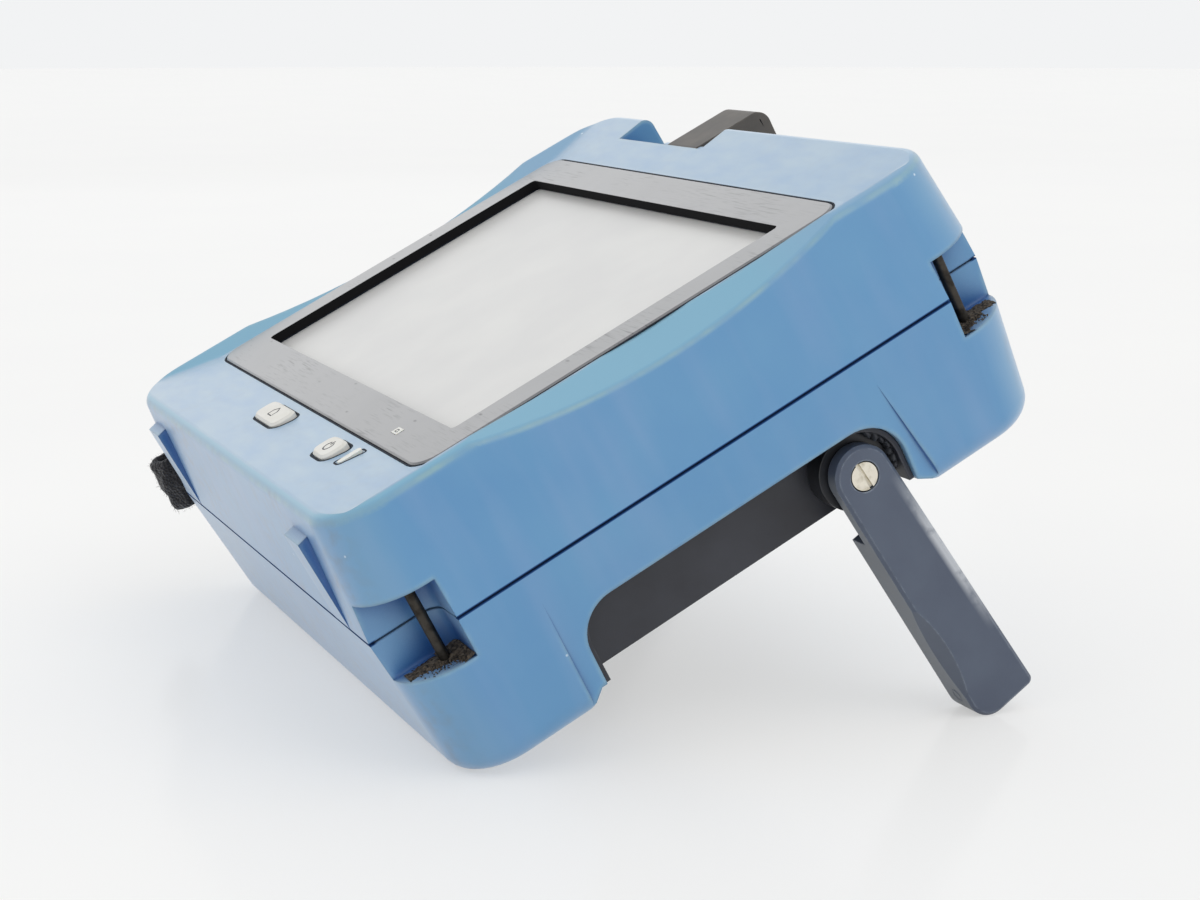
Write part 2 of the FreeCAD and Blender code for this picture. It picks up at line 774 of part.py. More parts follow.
def case_screws():
    screws = []
    for x, y in case_screw_places():
        z = screw_head_seat
        head = rod(case_screw_head, case_screw_head_height, V(x, y, z - case_screw_head_height), V(0, 0, 1))
        shank = rod(case_screw_radius, case_screw_length, V(x, y, z), V(0, 0, 1))
        socket = six_sided(1.4, 1.2, V(x, y, z - case_screw_head_height))
        screws.append(head.fuse(shank).cut(socket))
    return Part.makeCompound(screws)


# ---- buttons ----
def face_at_button():
    front_top = end_inset + rim_radius * 0.8
    run = bezel_front - 1.5 - front_top
    return face_height + (case_depth - face_height) * (bezel_front - 1.5 - button_y) / run


def button(x, width, length):
    top = face_at_button() + button_proud
    cap = rounded_plate(x - width / 2, x + width / 2, button_y - length / 2, button_y + length / 2,
                        face_inner - button_flange_gap - button_flange_thickness, top, length * 0.38)
    cap = cap.makeChamfer(button_bevel, edges_at(cap, top))
    grow = button_gap + button_flange
    z1 = face_inner - button_flange_gap
    flange = box(x - width / 2 - grow, x + width / 2 + grow, button_y - length / 2 - grow,
                 button_y + length / 2 + grow, z1 - button_flange_thickness, z1)
    return cap.fuse(flange).removeSplitter()


def status_light():
    z0 = keypad_top + led_height
    bar = light_outline(0, z0, face_at_button() + 0.3)
    return bar


def keypad_board():
    z0 = keypad_top - keypad_thickness
    y0 = button_y - keypad_half_length
    y1 = button_y + keypad_half_length
    plate = box(home_x - keypad_start, light_x + keypad_end, y0, y1, z0, keypad_top)
    legs = [box(x - keypad_leg / 2, x + keypad_leg / 2, y0, y1, keypad_top, face_inner)
            for x in (home_x - keypad_start + keypad_leg / 2, (home_x + power_x) / 2)]
    led = box(light_x - light_width / 2, light_x + light_width / 2, button_y, button_y + light_length / 2,
              keypad_top, keypad_top + led_height)
    return fused([plate, led] + legs)


# ---- legs ----
def leg_outline(x0, x1):
    """One leg seen from the side, pointing along -Z from its pivot at the origin."""
    a = leg_half_width
    f = leg_tip_front
    r = leg_tip_rear
    end = -leg_reach
    tip = leg_tip_radius
    heel = leg_heel_radius
    bend = 1 - math.sqrt(0.5)
    edges = [Part.Arc(V(x0, a, 0), V(x0, 0, a), V(x0, -a, 0)).toShape(),
             Part.makeLine(V(x0, -a, 0), V(x0, -f, end + tip)),
             Part.Arc(V(x0, -f, end + tip), V(x0, -f + tip * bend, end + tip * bend),
                      V(x0, -f + tip, end)).toShape(),
             Part.makeLine(V(x0, -f + tip, end), V(x0, r - heel, end)),
             Part.Arc(V(x0, r - heel, end), V(x0, r - heel * bend, end + heel * bend),
                      V(x0, r, end + heel)).toShape(),
             Part.makeLine(V(x0, r, end + heel), V(x0, a, 0))]
    return Part.Face(Part.Wire(edges)).extrude(V(x1 - x0, 0, 0))


def leg_at_origin():
    outer = leg_outer_face
    plate = leg_outline(outer - leg_plate, outer)
    block = leg_outline(leg_inner_face, outer - leg_plate + 0.01)
    block = block.common(box(leg_inner_face, outer, -50, 50, -leg_reach, -leg_block_start))
    leg = plate.fuse(block).removeSplitter()
    face = [e for e in leg.Edges if abs(e.BoundBox.XMin - outer) < 0.01]
    leg = leg.makeChamfer(leg_edge_bevel, face)
    tapering = prism_x([(-leg_half_width + leg_wall, -leg_block_start - leg_wall),
                        (-leg_tip_front + leg_wall, -leg_reach + leg_tip_radius),
                        (-leg_tip_front + leg_tip_radius, -leg_reach + leg_wall),
                        (leg_tip_rear - leg_wall, -leg_reach + leg_wall),
                        (leg_half_width - leg_wall, -leg_block_start - leg_wall)],
                       leg_inner_face - 1, outer - leg_plate)
    ribs = [box(leg_inner_face, outer - leg_plate, -20, 20, z - 0.8, z + 0.8)
            for z in (-leg_reach * 0.42, -leg_reach * 0.62, -leg_reach * 0.82)]
    hollow = tapering.cut(ribs)
    bore = rod(pivot_shank + pivot_clearance, 30, V(outer - 20, 0, 0), V(1, 0, 0))
    seat = rod(pivot_head + 0.3, 5, V(outer - pivot_head_height - 0.1, 0, 0), V(1, 0, 0))
    return leg.cut([hollow, finger_grip(), bore, seat])


def finger_grip():
    """Bevelled hollow in the leg's outer front edge, to lift it out of the case with a finger."""
    facing = V(grip_normal_x, -math.sqrt(1 - grip_normal_x ** 2), 0)
    depth = -facing.y * grip_width
    radius = ((grip_end - grip_start) ** 2 / 4 + depth ** 2) / (2 * depth)
    edge = V(leg_outer_face, -leg_tip_front, -(grip_start + grip_end) / 2)
    axis = V(-facing.y, facing.x, 0)
    middle = edge + facing * (radius - depth)
    return Part.makeCylinder(radius, 40, middle - axis * 20, axis)


def in_case(shape):
    """Turn a leg part to its open angle and carry it to the pivot."""
    turned = shape.copy()
    turned.rotate(V(0, 0, 0), V(1, 0, 0), leg_lean)
    turned.translate(V(0, leg_pivot_y, leg_pivot_z))
    return turned


def pivot_screw():
    outer = leg_outer_face
    head_x = outer - pivot_head_height
    head = rod(pivot_head, pivot_head_height - 0.1, V(head_x, 0, 0), V(1, 0, 0))
    slot = box(outer - 0.1 - slot_depth, outer + 1, -slot_width / 2, slot_width / 2, -10, 10)
    shank = rod(pivot_shank, head_x - hub_outer, V(hub_outer, 0, 0), V(1, 0, 0))
    end = chassis_half_width - pivot_thread_length
    thread = rod(pivot_thread, hub_outer - end, V(end, 0, 0), V(1, 0, 0))
    return fused([head.cut(slot), shank, thread])


def hinge_hub():
    x0 = chassis_half_width
    return ring(hub_radius, pivot_thread, hub_outer - x0, V(x0, 0, 0), V(1, 0, 0))


def hinge_washer():
    return ring(washer_radius, pivot_shank, washer_thickness, V(hub_outer, 0, 0), V(1, 0, 0))


# ---- optical ports and their cover ----
def barrel_middle():
    return V(port_x, bay_front + flap_gap + flap_barrel_radius, flap_top - flap_barrel_radius)


def optical_port():
    y = bay_front
    half = port_flange / 2
    flange = box(port_x - half, port_x + half, y, y + port_flange_thickness, port_z - half, port_z + half)
    start = y - port_behind
    barrel = rod(port_barrel_radius, port_length + port_behind, V(port_x, start, port_z), V(0, 1, 0))
    key = box(port_x - port_key_width / 2, port_x + port_key_width / 2, y + port_length * 0.75,
              y + port_length + 1, port_z, port_z + 2 * port_barrel_radius)
    socket = rod(port_barrel_radius - port_wall, port_length, V(port_x, y + port_behind + 1, port_z), V(0, 1, 0))
    sleeve = rod(ferrule_radius + sleeve_wall, port_length / 2, V(port_x, y + port_behind, port_z), V(0, 1, 0))
    bore = rod(ferrule_radius, 2 * port_length, V(port_x, y + 1, port_z), V(0, 1, 0))
    return fused([flange, barrel.cut([socket, key]), sleeve]).cut(bore)


def visual_fault_port():
    y = bay_front
    angles = [math.radians(a) for a in range(0, 360, 60)]
    corners = [V(vfl_x + vfl_nut_corner * math.cos(a), y, vfl_z + vfl_nut_corner * math.sin(a)) for a in angles]
    nut = flat_face(corners).extrude(V(0, vfl_nut_height, 0))
    barrel = rod(vfl_barrel_radius, vfl_length + port_behind, V(vfl_x, y - port_behind, vfl_z), V(0, 1, 0))
    bore = rod(ferrule_radius, 2 * vfl_length, V(vfl_x, y + 1, vfl_z), V(0, 1, 0))
    return nut.fuse(barrel).removeSplitter().cut(bore)


def flap_ears():
    """Lugs on the bay wall that hold the flap's pin, on both sides of its barrel."""
    c = barrel_middle()
    ears = []
    for s in (-1, 1):
        inner = port_x + s * (flap_half_width + flap_ear_gap)
        outer = inner + s * flap_ear_width
        x0 = min(inner, outer)
        x1 = max(inner, outer)
        lug = box(x0, x1, bay_front, c.y, c.z - flap_barrel_radius, c.z + flap_barrel_radius * 0.6)
        ears.append(lug.fuse(rod(flap_barrel_radius * 0.9, x1 - x0, V(x0, c.y, c.z), V(1, 0, 0))))
    span = flap_half_width + flap_ear_gap + flap_ear_width + 1
    holes = rod(flap_pin_radius, 2 * span, V(port_x - span, c.y, c.z), V(1, 0, 0))
    base = box(port_x - flap_half_width - flap_ear_gap - flap_ear_width,
               port_x + flap_half_width + flap_ear_gap + flap_ear_width, bay_front, bay_front + 0.4,
               port_z + port_flange / 2 + 0.2, c.z - flap_barrel_radius * 0.5)
    return fused(ears + [base]).cut(holes)


def port_flap():
    c = barrel_middle()
    x0 = port_x - flap_half_width
    x1 = port_x + flap_half_width
    top = box(x0, x1, c.y, flap_reach, flap_top - flap_thickness, flap_top)
    front = box(x0, x1, flap_reach - flap_thickness, flap_reach, flap_bottom, flap_top)
    plate = fused([top, front])
    bend = [e for e in plate.Edges if e.BoundBox.YMin > flap_reach - 0.01 and e.BoundBox.ZMin > flap_top - 0.01]
    plate = plate.makeFillet(flap_bend_radius, bend)
    barrel = rod(flap_barrel_radius, x1 - x0, V(x0, c.y, c.z), V(1, 0, 0))
    cheeks = [prism_x([(c.y, flap_top - 1), (flap_reach - 3, flap_top - 1), (flap_reach - 1, flap_bottom + 6),
                       (flap_reach - 1, flap_bottom), (flap_reach - flap_thickness, flap_bottom),
                       (c.y + 6, flap_top - flap_thickness - 1)], x, x + 1.4) for x in (x0, x1 - 1.4)]
    pin_hole = rod(flap_pin_radius + flap_pin_clearance, 2 * flap_half_width + 2, V(x0 - 1, c.y, c.z), V(1, 0, 0))
    return fused([plate, barrel] + cheeks).cut(pin_hole)


def flap_pin():
    c = barrel_middle()
    half = flap_half_width + flap_ear_gap + flap_ear_width
    return rod(flap_pin_radius, 2 * half, V(port_x - half, c.y, c.z), V(1, 0, 0))


# ---- connector panel ----
def panel_face():
    return case_length - (panel_bottom + panel_height - split_height) * upper_end_slope - 0.6


def usb_place():
    return panel_left + usb_from_left, panel_bottom + panel_height / 2


def micro_place():
    return panel_left + micro_from_left, panel_bottom + panel_height / 2


def jack_place():
    return panel_left + jack_from_left, panel_bottom + panel_height / 2


def connector_panel():
    y1 = panel_face()
    plate = box(panel_left, panel_left + panel_width, y1 - panel_thickness, y1, panel_bottom,
                panel_bottom + panel_height)
    ux, uz = usb_place()
    mx, mz = micro_place()
    jx, jz = jack_place()
    cuts = [box(ux - usb_width / 2, ux + usb_width / 2, y1 - 10, y1 + 1, uz - usb_height / 2,
                uz + usb_height / 2),
            box(mx - micro_width / 2, mx + micro_width / 2, y1 - 10, y1 + 1, mz - micro_height / 2,
                mz + micro_height / 2),
            rod(jack_outer, 20, V(jx, y1 - 10, jz), V(0, 1, 0))]
    return plate.cut(cuts)


def usb_port():
    x, z = usb_place()
    y1 = panel_face()
    w = usb_width / 2
    h = usb_height / 2
    can = box(x - w, x + w, y1 - usb_depth, y1 + 0.2, z - h, z + h)
    mouth = box(x - w + usb_shell, x + w - usb_shell, y1 - usb_depth + 2, y1 + 1, z - h + usb_shell,
                z + h - usb_shell)
    tongue = box(x - w + 1.4, x + w - 1.4, y1 - usb_depth + 1, y1 - 1, z + 0.1, z + 1.9)
    return can.cut(mouth).fuse(tongue).removeSplitter()


def micro_usb_port():
    x, z = micro_place()
    y1 = panel_face()
    w = micro_width / 2
    h = micro_height / 2
    can = box(x - w, x + w, y1 - 7, y1 + 0.2, z - h, z + h)
    mouth = box(x - w + 0.4, x + w - 0.4, y1 - 6, y1 + 1, z - h + 0.4, z + h - 0.4)
    tongue = box(x - w + 1.8, x + w - 1.8, y1 - 6.5, y1 - 0.8, z, z + 0.5)
    return can.cut(mouth).fuse(tongue).removeSplitter()


def dc_inlet():
    x, z = jack_place()
    y1 = panel_face()
    body = rod(jack_outer, jack_depth, V(x, y1 - jack_depth + 0.2, z), V(0, 1, 0))
    bore = rod(jack_bore, jack_depth, V(x, y1 - jack_depth + 2.2, z), V(0, 1, 0))
    pin = rod(jack_pin, jack_depth - 2.5, V(x, y1 - jack_depth + 1, z), V(0, 1, 0))
    return body.cut(bore).fuse(pin).removeSplitter()


# ---- hand strap ----
def band(points, z0, z1):
    """A strip of webbing that follows the plan points, as one thin wall."""
    outline = []
    half = strap_thickness / 2
    left = []
    right = []
    for i, p in enumerate(points):
        before = points[max(i - 1, 0)]
        after = points[min(i + 1, len(points) - 1)]
        along = (after - before).normalize()
        side = V(-along.y, along.x, 0) * half
        left.append(p + side)
        right.append(p - side)
    outline = left + right[::-1] + left[:1]
    return Part.Face(Part.makePolygon([V(p.x, p.y, z0) for p in outline])).extrude(V(0, 0, z1 - z0))


def hand_strap():
    z0 = split_height - strap_width / 2
    z1 = split_height + strap_width / 2
    post_x = -(half_width - post_from_side)
    grip = post_diameter / 2 + strap_clearance + strap_thickness / 2
    rear_y = case_length - post_from_end
    side_x = -(half_width + strap_clearance + strap_thickness / 2)
    bow = []
    steps = 12
    y0 = strap_pocket_depth_y - 2
    y1 = case_length - y0
    for i in range(steps + 1):
        t = i / steps
        bow.append(V(side_x - strap_stand_off * math.sin(math.pi * t) ** 2, y0 + (y1 - y0) * t, 0))
    rear = [V(post_x + grip * math.sin(math.radians(a)), rear_y - grip * math.cos(math.radians(a)), 0)
            for a in range(30, 301, 30)]
    front = [V(post_x + grip * math.sin(math.radians(a)), post_from_end - grip * math.cos(math.radians(a)), 0)
             for a in range(240, 511, 30)]
    fold_x = -half_width + 1.5
    fold_y = -strap_fold + 1.5
    fold = [V(fold_x - strap_fold * math.sin(math.radians(a)), fold_y - strap_fold * math.cos(math.radians(a)), 0)
            for a in range(-60, 121, 30)]
    pieces = [band(bow + rear[::-1], z0, z1)]
    pieces.append(band([bow[1], bow[0], V(post_x - 5, y0, 0)] + front[::-1], z0, z1))
    pieces.append(band([front[0]] + fold + [V(side_x - 0.3, 6, 0), bow[0]], z0, z1))
    return fused(pieces)


# ---- standing the instrument on its legs ----
def rest_tilt():
    """Angle at which the rounded front edge and the two rounded leg tips share one floor."""
    edge_y = (split_height - foot_radius) * end_slope
    edge_y += foot_radius / math.cos(math.radians(lower_end_draft))
    lean = math.radians(leg_lean)
    along = leg_reach - leg_tip_radius
    across = leg_tip_radius - leg_tip_front
    tip_y = leg_pivot_y + along * math.sin(lean) + across * math.cos(lean)
    tip_z = leg_pivot_z - along * math.cos(lean) + across * math.sin(lean)
    dy = tip_y - edge_y
    dz = tip_z - foot_radius
    reach = math.hypot(dy, dz)
    return math.degrees(math.asin((leg_tip_radius - foot_radius) / reach) - math.atan2(dz, dy))


def build():
    leg = in_case(leg_at_origin())
    screw = in_case(pivot_screw())
    hub = in_case(hinge_hub())
    washer = in_case(hinge_washer())
    parts = {
        "front_shell": front_shell().fuse(flap_ears()).removeSplitter(),
        "rear_shell": rear_shell(),
        "case_seal": case_seal(),
        "display_bezel": display_bezel(),
        "battery_indicator": battery_indicator(),
        "display_gasket": display_gasket(),
        "touch_panel": touch_panel(),
        "lcd_module": lcd_module(),
        "main_board": main_board(),
        "board_screws": board_screws(),
        "optical_module": optical_module(),
        "battery_pack": battery_pack(),
        "back_chassis": back_chassis(),
        "battery_door": battery_door(),
        "battery_door_screws": battery_door_screws(),
        "case_screws": case_screws(),
        "home_button": button(home_x, home_width, home_length),
        "power_button": button(power_x, power_width, power_length),
        "status_light": status_light(),
        "keypad_board": keypad_board(),
        "leg_right": leg,
        "leg_left": mirrored(leg),
        "pivot_screw_right": screw,
        "pivot_screw_left": mirrored(screw),
        "hinge_hub_right": hub,
        "hinge_hub_left": mirrored(hub),
        "hinge_washer_right": washer,
        "hinge_washer_left": mirrored(washer),
        "optical_port": optical_port(),
        "visual_fault_port": visual_fault_port(),
        "port_flap": port_flap(),
        "flap_pin": flap_pin(),
        "connector_panel": connector_panel(),
        "usb_port": usb_port(),
        "micro_usb_port": micro_usb_port(),
        "dc_inlet": dc_inlet(),
        "hand_strap": hand_strap(),
    }
    corners = ("front_right", "front_left", "rear_right", "rear_left")
    for name, post in zip(corners, at_corners(strap_post)):
        parts["strap_post_" + name] = post
    return parts


def stand_up(point_or_shape, shift):
    turn = FreeCAD.Rotation(V(1, 0, 0), rest_tilt())
    place = FreeCAD.Placement(shift, turn)
    if isinstance(point_or_shape, FreeCAD.Vector):
        return place.multVec(point_or_shape)
    moved = point_or_shape.copy()
    moved.Placement = place.multiply(moved.Placement)
    return moved


def floor_shift(parts):
    """Move that sets the lowest point on the floor and the middle of the box over the origin."""
    all_parts = Part.makeCompound([stand_up(s, V(0, 0, 0)) for s in parts.values()])
    extent = all_parts.optimalBoundingBox(False, False)
    return V(-extent.Center.x, -extent.Center.y, -extent.ZMin)


def main():
    os.makedirs("parts", exist_ok=True)
    parts = build()
    shift = floor_shift(parts)
    for name, shape in parts.items():
        stand_up(shape, shift).exportStep(os.path.join("parts", name + ".step"))
    print("tilt", round(rest_tilt(), 3), "shift", [round(v, 3) for v in shift])


if __name__ == "__main__":
    main()
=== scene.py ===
import json
import math
import random

import bmesh
import bpy
from mathutils import Matrix, Vector, noise
from mathutils.bvhtree import BVHTree


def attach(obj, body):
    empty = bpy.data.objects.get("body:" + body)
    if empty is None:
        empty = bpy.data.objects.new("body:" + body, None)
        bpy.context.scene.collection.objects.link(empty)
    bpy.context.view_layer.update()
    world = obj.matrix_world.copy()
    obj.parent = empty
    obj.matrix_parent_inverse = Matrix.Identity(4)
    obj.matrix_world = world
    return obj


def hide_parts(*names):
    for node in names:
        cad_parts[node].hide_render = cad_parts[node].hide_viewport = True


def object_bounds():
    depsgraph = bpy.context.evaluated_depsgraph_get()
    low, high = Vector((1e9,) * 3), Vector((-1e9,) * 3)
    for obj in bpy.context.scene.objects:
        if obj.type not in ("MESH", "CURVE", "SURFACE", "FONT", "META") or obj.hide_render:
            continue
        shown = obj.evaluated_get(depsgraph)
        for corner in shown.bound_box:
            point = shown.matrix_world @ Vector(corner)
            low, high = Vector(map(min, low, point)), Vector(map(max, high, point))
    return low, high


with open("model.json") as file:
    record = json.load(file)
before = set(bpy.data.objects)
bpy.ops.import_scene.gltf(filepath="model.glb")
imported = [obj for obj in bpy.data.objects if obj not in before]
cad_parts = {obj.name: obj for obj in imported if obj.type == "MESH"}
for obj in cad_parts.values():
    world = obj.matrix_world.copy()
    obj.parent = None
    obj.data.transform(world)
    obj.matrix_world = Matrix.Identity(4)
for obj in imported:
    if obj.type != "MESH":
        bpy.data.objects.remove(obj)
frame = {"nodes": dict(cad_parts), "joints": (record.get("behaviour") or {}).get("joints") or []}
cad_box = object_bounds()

bl_info = {
    "name": "Fibre Reflectometer Dressing",
    "version": (1, 0, 0),
    "blender": (4, 5, 0),
    "location": "3D View > Sidebar > Reflectometer",
    "description": "Finishes and fine pieces of a handheld optical time domain reflectometer",
    "category": "Object",
}

MM = 0.001
SIDES = {"right": 1, "left": -1}
ENDS = {"front": 1, "rear": -1}


# ---- the instrument's own axes, read from the frame ----
def joint_named(name):
    """A joint of the frame, by its name."""
    return next(j for j in frame["joints"] if j["name"] == name)


ACROSS = Vector((1.0, 0.0, 0.0))
OUT = -Vector(joint_named("home_button_press")["axis"]).normalized()
ALONG = OUT.cross(ACROSS)
TO_ROW = Matrix((ACROSS, ALONG, OUT)).transposed()
TO_CASE = TO_ROW.transposed()


def extent(name, top=None):
    """Lowest and highest corner of a CAD node along the case's own axes, or of its uppermost part only."""
    points = [TO_CASE @ v.co for v in frame["nodes"][name].data.vertices]
    if top is not None:
        level = max(p.z for p in points) - top
        points = [p for p in points if p.z > level]
    low = Vector([min(p[i] for p in points) for i in range(3)])
    high = Vector([max(p[i] for p in points) for i in range(3)])
    return low, high


# ---- shared sizes ----
REAR = extent("rear_shell")
SEAM = (extent("front_shell")[0].z + REAR[1].z) / 2
CORNER = Vector(((REAR[0].x + REAR[1].x) / 2, REAR[0].y, REAR[0].z))
WIDTH = (REAR[1] - REAR[0]).x / MM
SEAM_Z = (SEAM - CORNER.z) / MM
RAY = 20 * MM  # how far a ray looks for a surface
DROP = 5  # millimetres over a node's top from which a ray starts
# the dark lips of painted shade go round that top part
SHADE_LIP_BAND = 0.9 * MM  # top part of a node that its lip goes round
LEVEL_SLACK = 0.8  # millimetres off the pocket's floor that still count as floor
SENSOR = 36.0  # camera sensor width in millimetres
FLOOR_RADIUS = 6.0  # metres
FLOOR_DROP = 0.1 * MM  # the table lies just under the lowest point and touches nothing


def spot(x, y, z):
    """A point in millimetres from the middle of the front edge at the level of the rear feet."""
    return TO_ROW @ (CORNER + Vector((x, y, z)) * MM)


def in_case(point):
    """The same millimetres, read back from a point of the frame."""
    return (TO_CASE @ point - CORNER) / MM


def box_mm(name, top=None):
    """The corners of a CAD node's extent in the same millimetres."""
    return [(corner - CORNER) / MM for corner in extent(name, top)]


def middle_of(name):
    """Middle of a CAD node in the same millimetres."""
    low, high = box_mm(name)
    return (low + high) / 2


def surface_of(name):
    """A CAD node's surface, for casting rays at."""
    mesh = frame["nodes"][name].data
    faces = [tuple(p.vertices) for p in mesh.polygons]
    return BVHTree.FromPolygons([v.co for v in mesh.vertices], faces)


# ---- colours and nodes ----
def linear(code):
    """An sRGB hex colour as linear red, green, blue and a full alpha."""
    parts = [int(code[i:i + 2], 16) / 255 for i in (1, 3, 5)]
    return tuple(c / 12.92 if c <= 0.04045 else ((c + 0.055) / 1.055) ** 2.4 for c in parts) + (1.0,)


def feed(tree, socket, value):
    """Sets a socket to a value or hex colour, or links it to an output; a node stands for its first one."""
    if isinstance(value, str):
        value = linear(value)
    if isinstance(value, bpy.types.Node):
        value = value.outputs[0]
    if isinstance(value, bpy.types.NodeSocket):
        tree.links.new(value, socket)
    else:
        socket.default_value = value


def add(tree, kind, inputs=(), **settings):
    """Adds one node with its settings and links; inputs are a list in the sockets' order, or named."""
    made = tree.nodes.new("ShaderNode" + kind)
    for name, value in settings.items():
        setattr(made, name, value)
    for key, value in (inputs.items() if isinstance(inputs, dict) else enumerate(inputs)):
        feed(tree, made.inputs[key], value)
    return made


def new_material(name, turned=False):
    """A material, its node tree and object coordinates, turned into the case's own axes if asked."""
    made = bpy.data.materials.new(name)
    made.use_nodes = True
    tree = made.node_tree
    place = add(tree, "TexCoord").outputs["Object"]
    if turned:
        place = add(tree, "Mapping", {"Vector": place, "Rotation": TO_CASE.to_euler()})
    return made, tree, place


def finish(made, **sockets):
    """Feeds the material's shader; a socket's name has _ for each space."""
    for key, value in sockets.items():
        feed(made.node_tree, made.node_tree.nodes["Principled BSDF"].inputs[key.replace("_", " ")], value)
    return made


def per_mm(size):
    """Noise or Voronoi scale whose features are about that many millimetres wide."""
    return 1.0 / (size * MM)


def blotches(tree, place, size, low, high, detail=3.0, most=1.0):
    """0 to most in soft patches of that size in millimetres, between two noise levels."""
    cloud = add(tree, "TexNoise", {"Vector": place, "Scale": per_mm(size), "Detail": detail})
    return add(tree, "MapRange", {0: cloud, 1: low, 2: high, 4: most})


def specks(tree, place, spacing, edge, core):
    """0 to 1 in small dots that many millimetres apart; edge and core are shares of the spacing."""
    cells = add(tree, "TexVoronoi", {"Vector": place, "Scale": per_mm(spacing)})
    return add(tree, "MapRange", [cells, edge, core])


def layered(tree, base, *layers):
    """Colours laid over a base one after another, each given as (share, colour)."""
    for share, colour in layers:
        base = add(tree, "Mix", {0: share, 6: base, 7: colour}, data_type="RGBA").outputs[2]
    return base


def edge_share(tree, radius, low, high):
    """0 on open faces to 1 on outer edges, from how far a rounded normal turns away."""
    soft = add(tree, "Bevel", {"Radius": radius * MM}, samples=6)
    plain = add(tree, "NewGeometry").outputs["Normal"]
    turn = add(tree, "VectorMath", [soft, plain], operation="DOT_PRODUCT").outputs["Value"]
    return add(tree, "MapRange", [turn, high, low])


def off_level(tree, value, level):
    """How far a value is from a level, either way."""
    off = add(tree, "Math", [value, level], operation="SUBTRACT")
    return add(tree, "Math", [off], operation="ABSOLUTE")


def leaning(tree, direction):
    """How far the surface faces a direction of the part itself, from -1 to 1."""
    own = add(tree, "TexCoord").outputs["Normal"]
    return add(tree, "VectorMath", [own, direction], operation="DOT_PRODUCT").outputs["Value"]


def grain(tree, place, size, height, rounding=None, samples=6):
    """Fine relief from noise, height and size in millimetres, over edges rounded by a radius in metres."""
    cloud = add(tree, "TexNoise", {"Vector": place, "Scale": per_mm(size)})
    inputs = {"Height": cloud, "Distance": height * MM, "Strength": 1.0}
    if rounding is not None:
        inputs["Normal"] = add(tree, "Bevel", {"Radius": rounding}, samples=samples)
    return add(tree, "Bump", inputs)


